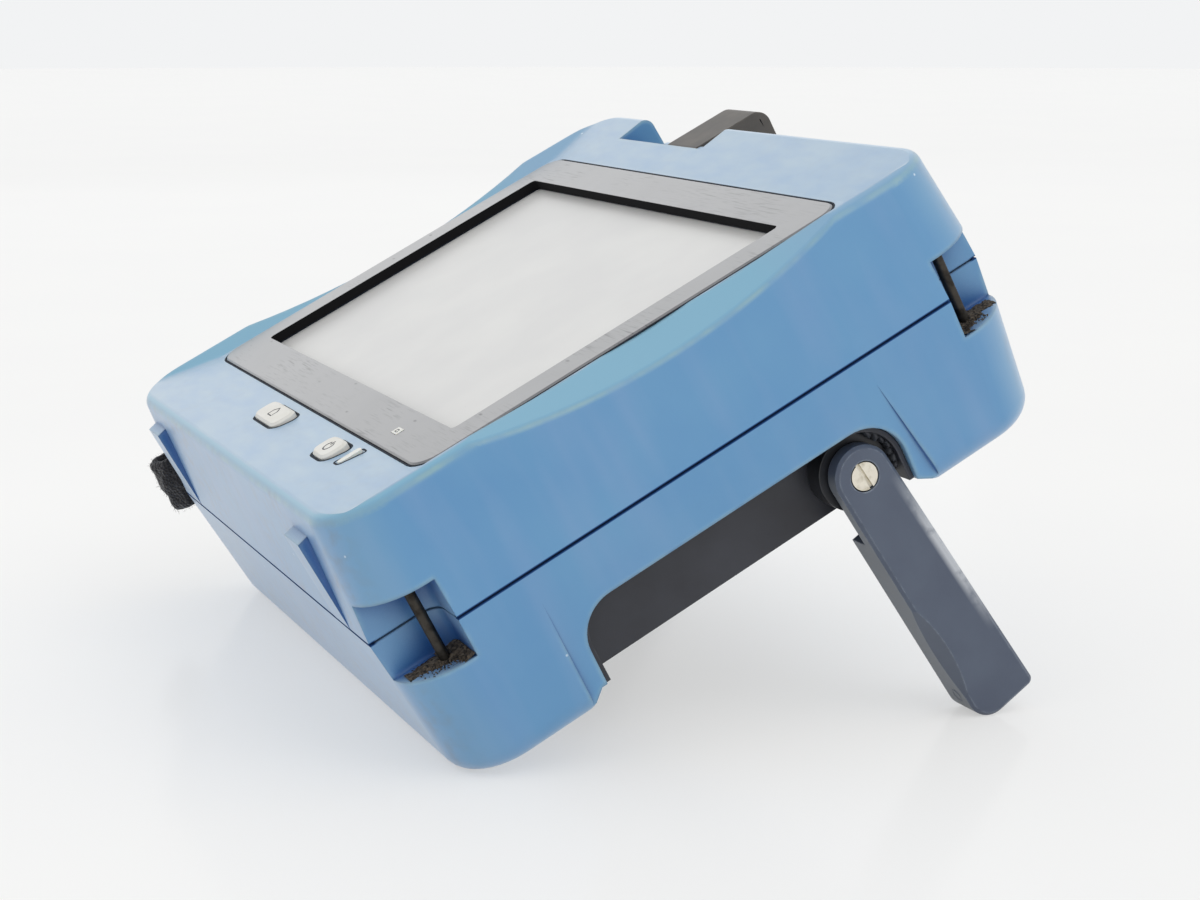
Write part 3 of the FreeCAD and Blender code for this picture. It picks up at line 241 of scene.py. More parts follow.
# ---- materials ----
def soft_touch_elastomer(look):
    """Thermoplastic elastomer moulded over ABS: a dry, faintly velvety skin that wears paler on its edges; its
    face, hollows, crest and edges are partly painted sheen, and its occluded corners painted shade.
    """
    made, tree, place = new_material("Elastomer_overmoulded_soft_touch", True)
    across, along, up = add(tree, "SeparateXYZ", [place]).outputs[:3]
    # distance from the seam, where edges are crisp and unworn
    off = off_level(tree, up, SEAM)
    clear = add(tree, "MapRange", [off, 2.0 * MM, 6.0 * MM])
    softness = add(tree, "MapRange", [off, 1.5 * MM, 9.0 * MM, 0.25 * MM, 1.6 * MM])
    # patches wiped cleaner, a few centimetres across, and faint upright streaks rubbed by hands
    wiped = blotches(tree, place, 34.0, 0.35, 0.68)
    upright = add(tree, "Mapping", {"Vector": place, "Scale": (1.0, 1.0, 0.12)})
    streaks = blotches(tree, upright, 9.0, 0.46, 0.74, 2.0, 0.35)
    # face, hand hollow and the crest between them, told apart by how they lean; their paler colours are mostly
    # painted sheen and highlight
    lean = leaning(tree, OUT)
    face = add(tree, "MapRange", [lean, 0.935, 0.985])
    # the hand hollow is painted paler: mostly painted sheen, partly teal wear
    hollow = add(tree, "MapRange", [lean, 0.55, 0.86])
    # the hollow's rear end turns back up to the face and takes the face's painted sheen
    end = add(tree, "MapRange", {0: along, 1: CORNER.y + 112 * MM, 2: CORNER.y + 134 * MM, 4: 0.75})
    # the crest is painted paler: a painted highlight on the crease, partly wear, in small patches
    crest = add(tree, "MapRange", [lean, 0.22, 0.45])
    below = add(tree, "MapRange", [lean, 0.82, 0.62])
    for share in (below, blotches(tree, place, 7.0, 0.2, 0.8)):
        crest = add(tree, "Math", [crest, share], operation="MULTIPLY")
    # the face is painted paler as painted sheen, with a film of dust on it, wiped and dried in ripples
    wiping = add(tree, "Mapping", {"Vector": place, "Rotation": (0.0, 0.0, 0.5), "Scale": (0.35, 1.0, 1.0)})
    ripples = blotches(tree, wiping, 5.0, 0.3, 0.7, 2.0)
    film = layered(tree, look.face, (wiped, look.face_wiped), (ripples, look.face_rippled))
    # fine soil that settles in the grain of the end walls, and a little on the face
    facing = add(tree, "Math", [leaning(tree, ALONG)], operation="ABSOLUTE")
    facing = add(tree, "MapRange", [facing, 0.5, 0.9])
    thin = add(tree, "Math", [face, 0.2], operation="MULTIPLY")
    soil = add(tree, "Math", [facing, thin], operation="MAXIMUM")
    for share in (blotches(tree, place, 3.2, 0.44, 0.72, 7.0),
                  blotches(tree, place, 26.0, 0.34, 0.62, most=0.55)):
        soil = add(tree, "Math", [soil, share], operation="MULTIPLY")
    # outer edges painted paler, partly rubbed and partly painted sheen, broken up by small patches
    worn = edge_share(tree, 2.4, 0.80, 0.985)
    for share in (blotches(tree, place, 5.0, 0.25, 0.62), clear, look.wear):
        worn = add(tree, "Math", [worn, share], operation="MULTIPLY")
    # the upright corners are painted paler too, partly rubbed and partly painted sheen, where the wall faces
    # both ways
    turned = add(tree, "Math", [leaning(tree, ACROSS), leaning(tree, ALONG)], operation="MULTIPLY")
    turned = add(tree, "Math", [turned], operation="ABSOLUTE")
    corner = add(tree, "MapRange", {0: turned, 1: 0.12, 2: 0.5, 4: 0.2})
    worn = add(tree, "Math", [worn, corner], operation="MAXIMUM")
    # painted shade: skin in occluded pockets and behind ribs is painted a deeper blue, and the most occluded
    # corners a dark grey-brown, dust and painted shade together
    shut = add(tree, "AmbientOcclusion", {"Distance": 13 * MM}, samples=8, only_local=True).outputs["AO"]
    deep = add(tree, "MapRange", [shut, 0.9, 0.5])
    # dark grey-brown in the most occluded corners: dust and painted shade together
    packed = add(tree, "MapRange", [shut, 0.42, 0.1])
    packed = add(tree, "Math", [packed, blotches(tree, place, 2.4, 0.34, 0.62)], operation="MULTIPLY")
    # pale lint, drawn 0.5 mm wide so that it shows
    lint = specks(tree, place, 13.0, 0.034, 0.018)
    # dark grime in the seam and on its two lips, fainter inside the corner pockets
    line = add(tree, "MapRange", [off, 0.56 * MM, 0.4 * MM])
    walls = []
    for axis, value in enumerate((across, along)):
        reach = (REAR[1][axis] - REAR[0][axis]) / 2
        away = off_level(tree, value, REAR[0][axis] + reach)
        walls.append(add(tree, "MapRange", [away, reach - 2.0 * MM, reach - 1.2 * MM]))
    outer = add(tree, "Math", walls, operation="MAXIMUM")
    outer = add(tree, "MapRange", {0: outer, 3: 0.3})
    line = add(tree, "Math", [line, outer], operation="MULTIPLY")
    # the hollow, end, crest, face and worn edge layers are partly painted sheen; the deep-blue and grime
    # layers are partly painted shade
    colour = layered(tree, look.blue, (wiped, look.blue_wiped), (streaks, look.blue_dull),
                     (hollow, layered(tree, look.hollow, (end, look.face))), (crest, look.crest), (face, film),
                     (soil, look.soil), (worn, look.worn_edge_and_sheen), (deep, look.painted_shade), (packed, look.grime_and_shade),
                     (lint, "#C9DCEB"), (line, look.seam))
    # nothing rubs the seam, so it has no film of handling; the skin painted in shade loses its coat and sheen
    # too, so its painted shade stays deep
    bare = add(tree, "Math", [line, deep], operation="MAXIMUM")
    # spark-eroded mould texture; real grit is 0.05 mm, drawn at 0.45 mm to show
    return finish(made, Roughness=0.42, IOR=1.5, Base_Color=colour,
                  Specular_IOR_Level=add(tree, "MapRange", {0: line, 3: 0.5, 4: 0.0}),
                  Coat_Weight=add(tree, "MapRange", {0: bare, 3: look.handled, 4: 0.1}), Coat_Roughness=0.32,
                  Sheen_Weight=add(tree, "MapRange", {0: bare, 3: look.sheen, 4: 0.05}), Sheen_Roughness=0.3,
                  Sheen_Tint="#E9EFF6",
                  Normal=grain(tree, place, 0.45, 0.012, softness, 8))


def satin_abs_bezel(look):
    """ABS moulded with a fine satin face: even dark grey, rubbed and scratched by wiping; its face is painted
    a lighter grey as painted sheen, and its walls near black as painted shade.
    """
    made, tree, place = new_material("ABS_moulded_satin", True)
    # the face takes the lighter grey of painted sheen, the walls the painted shade
    face = add(tree, "MapRange", [leaning(tree, OUT), 0.45, 0.65])
    # nicks: short dark flecks, thicker in some areas
    drawn = add(tree, "Mapping", {"Vector": place, "Rotation": (0.0, 0.0, 0.6), "Scale": (0.4, 1.0, 1.0)})
    marks = add(tree, "Math", [specks(tree, drawn, 4.5, 0.11, 0.05), blotches(tree, place, 15.0, 0.46, 0.6)],
                operation="MULTIPLY")
    # scratches in three directions
    area = blotches(tree, place, 22.0, 0.44, 0.62)
    for turn, width, most in ((1.15, 0.5, 0.75), (0.55, 0.45, 0.45), (1.9, 0.6, 0.35)):
        drawn = add(tree, "Mapping", {"Vector": place, "Rotation": (0, 0, turn), "Scale": (0.055, 1.0, 1.0)})
        scratch = blotches(tree, drawn, width, 0.6, 0.72, 1.0, most)
        scratch = add(tree, "Math", [scratch, area], operation="MULTIPLY")
        marks = add(tree, "Math", [marks, scratch], operation="MAXIMUM")
    rubbed = blotches(tree, place, 16.0, 0.3, 0.7)
    top = layered(tree, look.bezel, (rubbed, look.bezel_rubbed), (marks, look.scratch))
    # the walls are painted near black and matt, with no coat, as painted shade, and a mark has lost the coat
    whole = add(tree, "MapRange", {0: marks, 3: 1.0, 4: 0.5})
    return finish(made, IOR=1.53, Base_Color=layered(tree, look.recess_painted_shade, (face, top)),
                  Roughness=add(tree, "MapRange", {0: face, 3: 0.9, 4: 0.3}),
                  Specular_IOR_Level=add(tree, "MapRange", {0: face, 3: 0.12, 4: 0.5}),
                  Coat_Weight=add(tree, "Math", [face, whole], operation="MULTIPLY"),
                  Coat_Roughness=0.28, Normal=grain(tree, place, 0.4, 0.006, 0.25 * MM))


def touch_film(look):
    """Hard-coated polyester touch film over an unlit panel: an even, slightly warm grey with a matt coat; its
    pale grey is painted reflection of the bright surroundings.
    """
    made, tree, place = new_material("Polyester_film_glare_coated", True)
    colour = layered(tree, look.film, (blotches(tree, place, 28.0, 0.38, 0.66), look.film_smeared),
                     (specks(tree, place, 9.0, 0.03, 0.015), "#CFCFCC"))
    return finish(made, Roughness=0.3, IOR=1.52, Base_Color=colour, Normal=grain(tree, place, 0.5, 0.002))


def moulded_plastic(name, base, rubbed, roughness=0.5, grit=0.35, relief=0.01, edge=0.5, edge_colour=None,
                    patch=12.0):
    """A moulded plastic with a spark-eroded grain, uneven tone and rubbed edges."""
    made, tree, place = new_material(name)
    colour = layered(tree, base, (blotches(tree, place, patch, 0.32, 0.7), rubbed))
    if edge_colour is not None:
        rim = [edge_share(tree, 0.7, 0.86, 0.99), blotches(tree, place, 2.5, 0.35, 0.6, most=edge)]
        rim = add(tree, "Math", rim, operation="MULTIPLY")
        colour = layered(tree, colour, (rim, edge_colour))
    return finish(made, Roughness=roughness, IOR=1.5, Base_Color=colour,
                  Normal=grain(tree, place, grit, relief, 0.3 * MM))


def leg_points(node, pivot):
    """The leg's points in its swinging plane, from the pivot."""
    points = [v.co for v in frame["nodes"][node].data.vertices]
    return [Vector((0.0, p.y - pivot.y, p.z - pivot.z)) for p in points]


def leg_directions(node, pivot):
    """Towards the tip, towards the rear edge, and the pivot's distance to the farthest point."""
    flat = leg_points(node, pivot)
    reach = max(p.length for p in flat)
    tip = [p for p in flat if p.length > 0.93 * reach]
    down = (sum(tip, Vector()) / len(tip)).normalized()
    return down, Vector((0.0, -down.z, down.y)), reach


def scuffed_nylon(look, node, hub):
    """Glass-filled nylon, moulded: matt slate, with a pale band along the rear edge that is painted highlight
    and some rubbing, and a paler front side that is painted light.
    """
    made = moulded_plastic("Nylon_glass_filled_moulded", look.slate, look.slate_rubbed, roughness=0.46,
                           grit=0.5, relief=0.02, edge=0.75, edge_colour=look.scuff, patch=14.0)
    tree = made.node_tree
    plain = tree.nodes["Principled BSDF"].inputs["Base Color"].links[0].from_socket
    # the leg's own directions, from its pivot to the middle of its tip, and the taper of its rear edge
    pivot = spot(*middle_of(hub))
    down, rear, reach = leg_directions(node, pivot)
    flat = leg_points(node, pivot)
    edge_tip = max((p.dot(rear), p.dot(down)) for p in flat if p.dot(down) > 0.8 * reach)
    edge_top = max(p.dot(rear) for p in flat if abs(p.dot(down)) < 0.1 * reach)
    outward = rear + down * (edge_top - edge_tip[0]) / edge_tip[1]
    # a pale band along the upper rear edge of the outer face: painted highlight of the rounded edge, with some
    # rubbing
    place = add(tree, "TexCoord").outputs["Object"]
    along = add(tree, "VectorMath", [place, down], operation="DOT_PRODUCT").outputs["Value"]
    across = add(tree, "VectorMath", [place, outward], operation="DOT_PRODUCT").outputs["Value"]
    level, start = edge_top + pivot.dot(outward), pivot.dot(down)
    band = add(tree, "MapRange", [across, level - 2.9 * MM, level - 1.5 * MM])
    first = add(tree, "MapRange", [along, start + 4 * MM, start + 22 * MM])
    last = add(tree, "MapRange", [along, start + 52 * MM, start + 34 * MM])
    side = add(tree, "Math", [leaning(tree, ACROSS)], operation="ABSOLUTE")
    side = add(tree, "MapRange", [side, 0.2, 0.6])
    for share in (first, last, side, blotches(tree, place, 3.0, 0.1, 0.5)):
        band = add(tree, "Math", [band, share], operation="MULTIPLY")
    # the narrow front side is painted paler: painted light from the table below
    front = add(tree, "MapRange", [leaning(tree, -rear), 0.75, 0.95])
    return finish(made, Base_Color=layered(tree, plain, (band, look.rear_edge_highlight_and_rub), (front, look.front_side_painted_light)))


def turned_metal(name, base, tarnish, roughness=0.3, patch=1.5):
    """A plated or turned metal: metallic, with spots of tarnish and fine tool marks."""
    made, tree, place = new_material(name)
    colour = layered(tree, base, (blotches(tree, place, patch, 0.45, 0.7), tarnish))
    rough = blotches(tree, place, patch * 0.7, 0.3, 0.7)
    rough = add(tree, "MapRange", {0: rough, 3: roughness, 4: roughness + 0.2})
    return finish(made, Metallic=1.0, Base_Color=colour, Roughness=rough,
                  Normal=grain(tree, place, 0.15, 0.004, 0.12 * MM))


def woven_nylon(look):
    """Nylon webbing, plain woven: matt black yarns crossing about every 1.1 mm."""
    made, tree, place = new_material("Nylon_webbing_woven", True)
    # a wave of scale 1 repeats every tau / 20 of a unit
    yarns = [add(tree, "TexWave", {"Vector": place, "Scale": per_mm(1.1) * math.tau / 20, "Distortion": 0.6,
                                   "Detail": 1.0}, bands_direction=direction) for direction in ("Y", "Z")]
    height = add(tree, "Math", [yarn.outputs["Fac"] for yarn in yarns], operation="MULTIPLY")
    # the yarn tops are painted lighter: painted highlight with some dust
    return finish(made, Roughness=0.85, IOR=1.5, Sheen_Weight=0.25, Sheen_Roughness=0.5,
                  Base_Color=layered(tree, look.strap, (height, look.yarn_top_highlight_and_dust)),
                  Normal=add(tree, "Bump", {"Height": height, "Distance": 0.35 * MM}))


def napped_loop(look):
    """Knitted polyamide loop tape: a deep matt nap of tiny curls that hardly reflects."""
    made, tree, place = new_material("Polyamide_loop_pile_knitted")
    curls = add(tree, "TexVoronoi", {"Vector": place, "Scale": per_mm(0.8)})
    # the raised curls are painted lighter: painted highlight with some dust
    return finish(made, Roughness=0.95, IOR=1.45, Sheen_Weight=0.3, Sheen_Roughness=0.6,
                  Base_Color=layered(tree, look.strap, (curls, look.yarn_top_highlight_and_dust)),
                  Normal=add(tree, "Bump", {"Height": curls, "Distance": 0.5 * MM}))


def packed_dust(look):
    """Dry site dust: matt grey-brown grains, from dark to light."""
    made, tree, place = new_material("Dust_dry_packed")
    cells = add(tree, "TexVoronoi", {"Vector": place, "Scale": per_mm(0.5)}).outputs["Color"]
    tone = add(tree, "SeparateColor", [cells])
    colour = layered(tree, look.dust_dark, (tone, look.dust_light))
    return finish(made, Roughness=0.95, IOR=1.4, Base_Color=colour, Normal=grain(tree, place, 0.4, 0.1))


def solder_mask():
    """Epoxy glass board under green solder mask: glossy, with faint copper tracks beneath."""
    made, tree, place = new_material("Epoxy_glass_solder_masked", True)
    tracks = add(tree, "TexBrick", {"Vector": place, "Scale": per_mm(30.0), "Color1": "#1E5A35",
                                    "Color2": "#24683D", "Mortar": "#184A2C"})
    return finish(made, Roughness=0.35, Base_Color=tracks)


def sealing_rubber():
    """Silicone rubber, moulded: dull near-black that picks up dust."""
    made, tree, place = new_material("Silicone_rubber_moulded")
    colour = layered(tree, "#101825", (blotches(tree, place, 4.0, 0.4, 0.75), "#1C2A3D"))
    return finish(made, Roughness=0.75, IOR=1.41, Base_Color=colour, Normal=grain(tree, place, 0.5, 0.01))


def led_window():
    """Clear-cast acrylic light guide, unlit: milky white with a gloss."""
    made, tree, place = new_material("Acrylic_diffuser_cast")
    colour = layered(tree, "#F2F0E8", (blotches(tree, place, 2.0, 0.3, 0.7), "#E6E4DA"))
    return finish(made, Roughness=0.25, IOR=1.49, Subsurface_Weight=0.1, Base_Color=colour)


# ---- settings that a user would change ----
def tint(name, description, code):
    """A colour that the user can change."""
    return bpy.props.FloatVectorProperty(name=name, description=description, default=linear(code), size=4,
                                         subtype="COLOR", min=0.0, max=1.0)


def degree(name, description, default):
    """A share from 0 to 1."""
    return bpy.props.FloatProperty(name=name, description=description, default=default, min=0.0, max=1.0,
                                   subtype="FACTOR")


def fine_size(name, description, size):
    """A length in millimetres of something that is less than a millimetre wide."""
    return bpy.props.FloatProperty(name=name, description=description, default=size * MM, min=0.1 * MM,
                                   max=1.0 * MM, unit="LENGTH")


class CaseLook(bpy.types.PropertyGroup):
    """Colours and wear of the two case shells, with their painted sheen and painted shade."""
    blue: tint("Blue", "Main colour of the soft skin", "#528FC0")
    blue_wiped: tint("Wiped blue", "Where the skin has been wiped clean", "#5C97C3")
    blue_dull: tint("Dull blue", "Streaks rubbed by hands", "#7A9DC8")
    # Hand hollow: painted sheen on the side hollows, partly teal wear
    hollow: tint("Hand hollow", "Skin rubbed paler in the side hollows", "#76AECA")
    # Face, Wiped face and Rippled face: painted sheen on the face, with its film of dust
    face: tint("Face", "Film of dust on the face", "#7EA6C9")
    face_wiped: tint("Wiped face", "Face where it is wiped", "#7AA5CA")
    face_rippled: tint("Rippled face", "Dried wiping marks on the face", "#93B3CB")
    # Worn edge: rubbed outer edges together with painted sheen
    worn_edge_and_sheen: tint("Worn edge", "Rubbed outer edges", "#93BACB")
    # Crest: painted highlight on the crease beside the hollow, partly wear
    crest: tint("Crest", "Skin on the crest beside the hand hollow", "#86AEB6")
    soil: tint("Soil", "Fine dirt in the grain of the face and end walls", "#6A7384")
    # Sheltered: painted shade, a deeper blue in occluded pockets and behind ribs
    painted_shade: tint("Sheltered", "Skin that neither sun nor hands reach", "#245A9E")
    seam: tint("Seam", "Grime in the parting line", "#24467A")
    # Grime: dust in occluded corners, darkened as painted shade
    grime_and_shade: tint("Grime", "Dust packed into corners", "#4A4744")
    sheen: degree("Velvet sheen", "Strength of the skin's soft sheen", 0.4)
    handled: degree("Handling polish", "Thin film that hands leave on the skin", 1.0)
    # Edge wear: share of the edges painted paler with wear and painted sheen
    wear: degree("Edge wear", "Share of the edges rubbed pale", 0.75)


class ScreenLook(bpy.types.PropertyGroup):
    """Colours of the bezel and the unlit screen."""
    # Bezel and Bezel rubbed: lighter than the bezel's real dark grey, as painted sheen
    bezel: tint("Bezel", "Satin plastic round the screen", "#707174")
    bezel_rubbed: tint("Bezel rubbed", "Bezel where it is rubbed smooth", "#797A7D")
    scratch: tint("Scratch", "Marks in the bezel", "#2E2F33")
    # Recess: painted shade on the walls round the screen
    recess_painted_shade: tint("Recess", "Black walls round the screen", "#141416")
    # Touch film and Touch film smeared: the unlit screen's pale grey is painted reflection
    film: tint("Touch film", "Unlit screen", "#D8D8D7")
    film_smeared: tint("Touch film smeared", "Screen where fingers have been", "#DEDEDC")
    mark_width: fine_size("Mark width", "Line width of the button marks", 0.35)


class LegLook(bpy.types.PropertyGroup):
    """Colours of the stand legs and of the black inner case."""
    slate: tint("Slate", "Leg plastic", "#4E5769")
    slate_rubbed: tint("Slate rubbed", "Leg plastic where handled", "#566071")
    scuff: tint("Scuff", "Scuffed leg edges", "#98A2AE")
    # Rubbed band: painted highlight along the leg's rear edge, with some rubbing
    rear_edge_highlight_and_rub: tint("Rubbed band", "Leg's rear edge rubbed pale", "#BFC3C9")
    # Dusty side: painted light on the leg's front side
    front_side_painted_light: tint("Dusty side", "Leg's front side with its film of dust", "#767B82")
    black: tint("Black", "Inner case and hinge", "#26272E")
    black_rubbed: tint("Black rubbed", "Inner case where rubbed", "#35373F")


class StrapLook(bpy.types.PropertyGroup):
    """Colours of the hand strap, and colours and size of the dust in the pockets."""
    strap: tint("Strap", "Black yarn", "#0E0E10")
    # Strap light: painted highlight on the yarn tops, with some dust
    yarn_top_highlight_and_dust: tint("Strap light", "Yarn tops and dust", "#2C2A2E")
    dust_dark: tint("Dark dust", "Deep grains", "#1D1A19")
    dust_light: tint("Light dust", "Dry grains", "#6E6355")
    grain_size: fine_size("Grain size", "Radius of a dust grain", 0.24)


class StageLook(bpy.types.PropertyGroup):
    """Camera, light and floor."""
    azimuth: bpy.props.FloatProperty(name="Azimuth", description="Camera angle round the part",
                                     default=math.radians(67.295), subtype="ANGLE")
    elevation: bpy.props.FloatProperty(name="Elevation", description="Camera angle above the floor",
                                       default=math.radians(10.78), subtype="ANGLE")
    distance: bpy.props.FloatProperty(name="Distance", description="Camera to the aim point", default=0.598,
                                      min=0.1, unit="LENGTH")
    aim: bpy.props.FloatVectorProperty(name="Aim", description="Point in the middle of the view",
                                       default=(0.00915, 0.01317, 0.05148), subtype="TRANSLATION",
                                       unit="LENGTH")
    lens: bpy.props.FloatProperty(name="Lens", description="Focal length on a 36 mm sensor", default=69.76,
                                  min=10.0, unit="CAMERA")
    floor: tint("Floor", "Pale table top", "#FAFAF9")
    backdrop: tint("Backdrop", "Wall behind, as the camera sees it", "#F2F3F4")
    opal: degree("Opal", "Share of the table's white that comes from within", 0.5)
    sky: bpy.props.FloatProperty(name="Room light", description="Light from all round", default=0.86, min=0.0)


SCENE_GROUPS = {"refl_case": CaseLook, "refl_screen": ScreenLook, "refl_legs": LegLook,
                "refl_strap": StrapLook, "refl_stage": StageLook}


def look_count(kind):
    return {"curls": 900, "grains": 520}[kind] // 1


# ---- small mesh helpers ----
def make_piece(name, build_mesh, material, body):
    """One mesh piece that rides on a CAD body; build_mesh fills the bmesh."""
    bm = bmesh.new()
    build_mesh(bm)
    bmesh.ops.recalc_face_normals(bm, faces=bm.faces)
    mesh = bpy.data.meshes.new(name)
    bm.to_mesh(mesh)
    bm.free()
    piece = bpy.data.objects.new(name, mesh)
    bpy.context.scene.collection.objects.link(piece)
    mesh.materials.append(material)
    for face in mesh.polygons:
        face.use_smooth = True
    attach(piece, body)
    return piece


def bridge(bm, rings, start=True, end=True):
    """Joins closed rings of vertices one to the next; start and end say which end is capped."""
    for first, second in zip(rings, rings[1:]):
        for i in range(len(first)):
            bm.faces.new((first[i - 1], first[i], second[i], second[i - 1]))
    if start:
        bm.faces.new(rings[0][::-1])
    if end:
        bm.faces.new(rings[-1])


def in_plane_sides(path, loop=False):
    """For each path point, the unit vector across the path in the case's own plane."""
    sides = []
    last = len(path) - 1
    for i in range(len(path)):
        behind, ahead = (i - 1, (i + 1) % len(path)) if loop else (max(i - 1, 0), min(i + 1, last))
        sides.append(OUT.cross(path[ahead] - path[behind]).normalized())
    return sides


def sweep(bm, path, section, loop=False):
    """Carries a closed section of (side, up) offsets along a path, as a loop or capped at each end."""
    rings = [[bm.verts.new(point + side * s + OUT * u) for s, u in section]
             for point, side in zip(path, in_plane_sides(path, loop))]
    bridge(bm, rings + rings[:1] * loop, not loop, not loop)


def shade_lip_round(bm, node, grow, radius, width, surface):
    """A thin raised dark rubber lip round a node, laid on the face as painted shade of the gap round it; sizes
    in millimetres.
    """
    low, high = box_mm(node, SHADE_LIP_BAND)
    path = []
    for x, y, start in ((high.x, high.y, 0), (low.x, high.y, 90), (low.x, low.y, 180), (high.x, low.y, 270)):
        cx = x + (grow - radius) * (1 if start in (0, 270) else -1)
        cy = y + (grow - radius) * (1 if start in (0, 90) else -1)
        # a quarter turn in steps of 15 degrees, each point dropped on the face from above
        for step in range(7):
            angle = math.radians(start + 15 * step)
            above = spot(cx + radius * math.cos(angle), cy + radius * math.sin(angle), high.z + DROP)
            hit = surface.ray_cast(above, -OUT, RAY)[0]
            path.append(hit if hit is not None else above - OUT * DROP * MM)
    # (share of the half width, height over the face), from one foot over the top to the other
    profile = [(1, -0.15), (1, 0.03), (0.5, 0.09), (-0.5, 0.09), (-1, 0.03), (-1, -0.15)]
    sweep(bm, path, [(share * width * MM / 2, up * MM) for share, up in profile], True)


def pill_section(half_thick, half_width, round_steps=4):
    """Flat section with rounded edges, as (side, up) offsets."""
    straight = half_width - half_thick
    section = []
    for centre, start in ((straight, 0.0), (-straight, math.pi)):
        for i in range(round_steps + 1):
            angle = start + math.pi * i / round_steps
            section.append((half_thick * math.cos(angle), centre + half_thick * math.sin(angle)))
    return section


def plan_path(plan, level, steps):
    """Catmull-Rom curve through plan points at one level, all in millimetres, as points of the frame."""
    points = [Vector((x, y, level)) for x, y in plan]
    path = []
    for i in range(len(points) - 1):
        a, b, c, d = (points[min(max(i + k, 0), len(points) - 1)] for k in (-1, 0, 1, 2))
        for step in range(steps):
            t = step / steps
            path.append(0.5 * (2 * b + (c - a) * t + (2 * a - 5 * b + 4 * c - d) * t * t
                               + (3 * b - a - 3 * c + d) * t ** 3))
    return [spot(*p) for p in path + [points[-1]]]


def grit(bm, place, radius, rng):
    """One small crooked grain."""
    made = bmesh.ops.create_icosphere(bm, subdivisions=1, radius=radius)["verts"]
    stretch = Vector([rng.uniform(0.55, 1.25) for _ in range(3)])
    for vert in made:
        vert.co = Vector([c * k for c, k in zip(vert.co, stretch)]) * rng.uniform(0.8, 1.2) + place


def strand(bm, path, radius):
    """A three-sided thread along a path, thin at its end."""
    rings = []
    last = len(path) - 1
    for i, point in enumerate(path):
        along = (path[min(i + 1, last)] - path[max(i - 1, 0)]).normalized()
        side = along.orthogonal().normalized()
        up = along.cross(side)
        thin = radius * (1.0 if i < last else 0.4)
        rings.append([bm.verts.new(point + (side * math.cos(a) + up * math.sin(a)) * thin)
                      for a in (0.0, math.tau / 3, math.tau * 2 / 3)])
    bridge(bm, rings)


def dress(material, *nodes):
    """Gives CAD nodes their finish."""
    for node in nodes:
        mesh = frame["nodes"][node].data
        mesh.materials.clear()
        mesh.materials.append(material)


# ---- operators ----
class REFL_OT_case(bpy.types.Operator):
    """Finish the two case shells, their seal, the screws and the strap posts"""
    bl_idname = "refl.case"
    bl_label = "Case shells"

    def execute(self, context):
        dress(soft_touch_elastomer(context.scene.refl_case), "front_shell", "rear_shell")
        dress(sealing_rubber(), "case_seal")
        # Zinc-plated steel, cold headed: dull silver with grey spots.
        steel = turned_metal("Steel_zinc_plated", "#A9A9A6", "#7C7C7A", 0.38)
        dress(steel, "case_screws", "battery_door_screws", "board_screws", "flap_pin")
        # Steel pin, blackened: dark with worn brown streaks.
        pin = turned_metal("Steel_pin_blackened", "#4B4742", "#2A2723", 0.42, 2.5)
        dress(pin, *("strap_post_%s_%s" % (end, side) for end in ENDS for side in SIDES))
        return {"FINISHED"}


class REFL_OT_screen(bpy.types.Operator):
    """Finish the bezel, the unlit screen and what lies under them"""
    bl_idname = "refl.screen"
    bl_label = "Screen"

    def execute(self, context):
        look = context.scene.refl_screen
        dress(satin_abs_bezel(look), "display_bezel")
        dress(touch_film(look), "touch_panel")
        dress(sealing_rubber(), "display_gasket")
        dress(led_window(), "battery_indicator")
        # Aluminium sheet, pressed: plain bright metal of the hidden modules.
        sheet = turned_metal("Aluminium_sheet_pressed", "#B9BABC", "#A2A3A6", 0.4, 8.0)
        dress(sheet, "lcd_module", "optical_module")
        dress(solder_mask(), "main_board", "keypad_board")
        return {"FINISHED"}


def outline(name, strokes, node, width, material, body):
    """Thin raised strokes on a node's top, from points in millimetres round its middle."""
    low, high = box_mm(node)
    middle = (low + high) / 2
    section = [(width / 2, -0.06 * MM), (width / 2, 0.02 * MM), (-width / 2, 0.02 * MM),
               (-width / 2, -0.06 * MM)]

    def build(bm):
        for stroke in strokes:
            sweep(bm, [spot(middle.x + x, middle.y + y, high.z + 0.02) for x, y in stroke], section)
    make_piece(name, build, material, body)


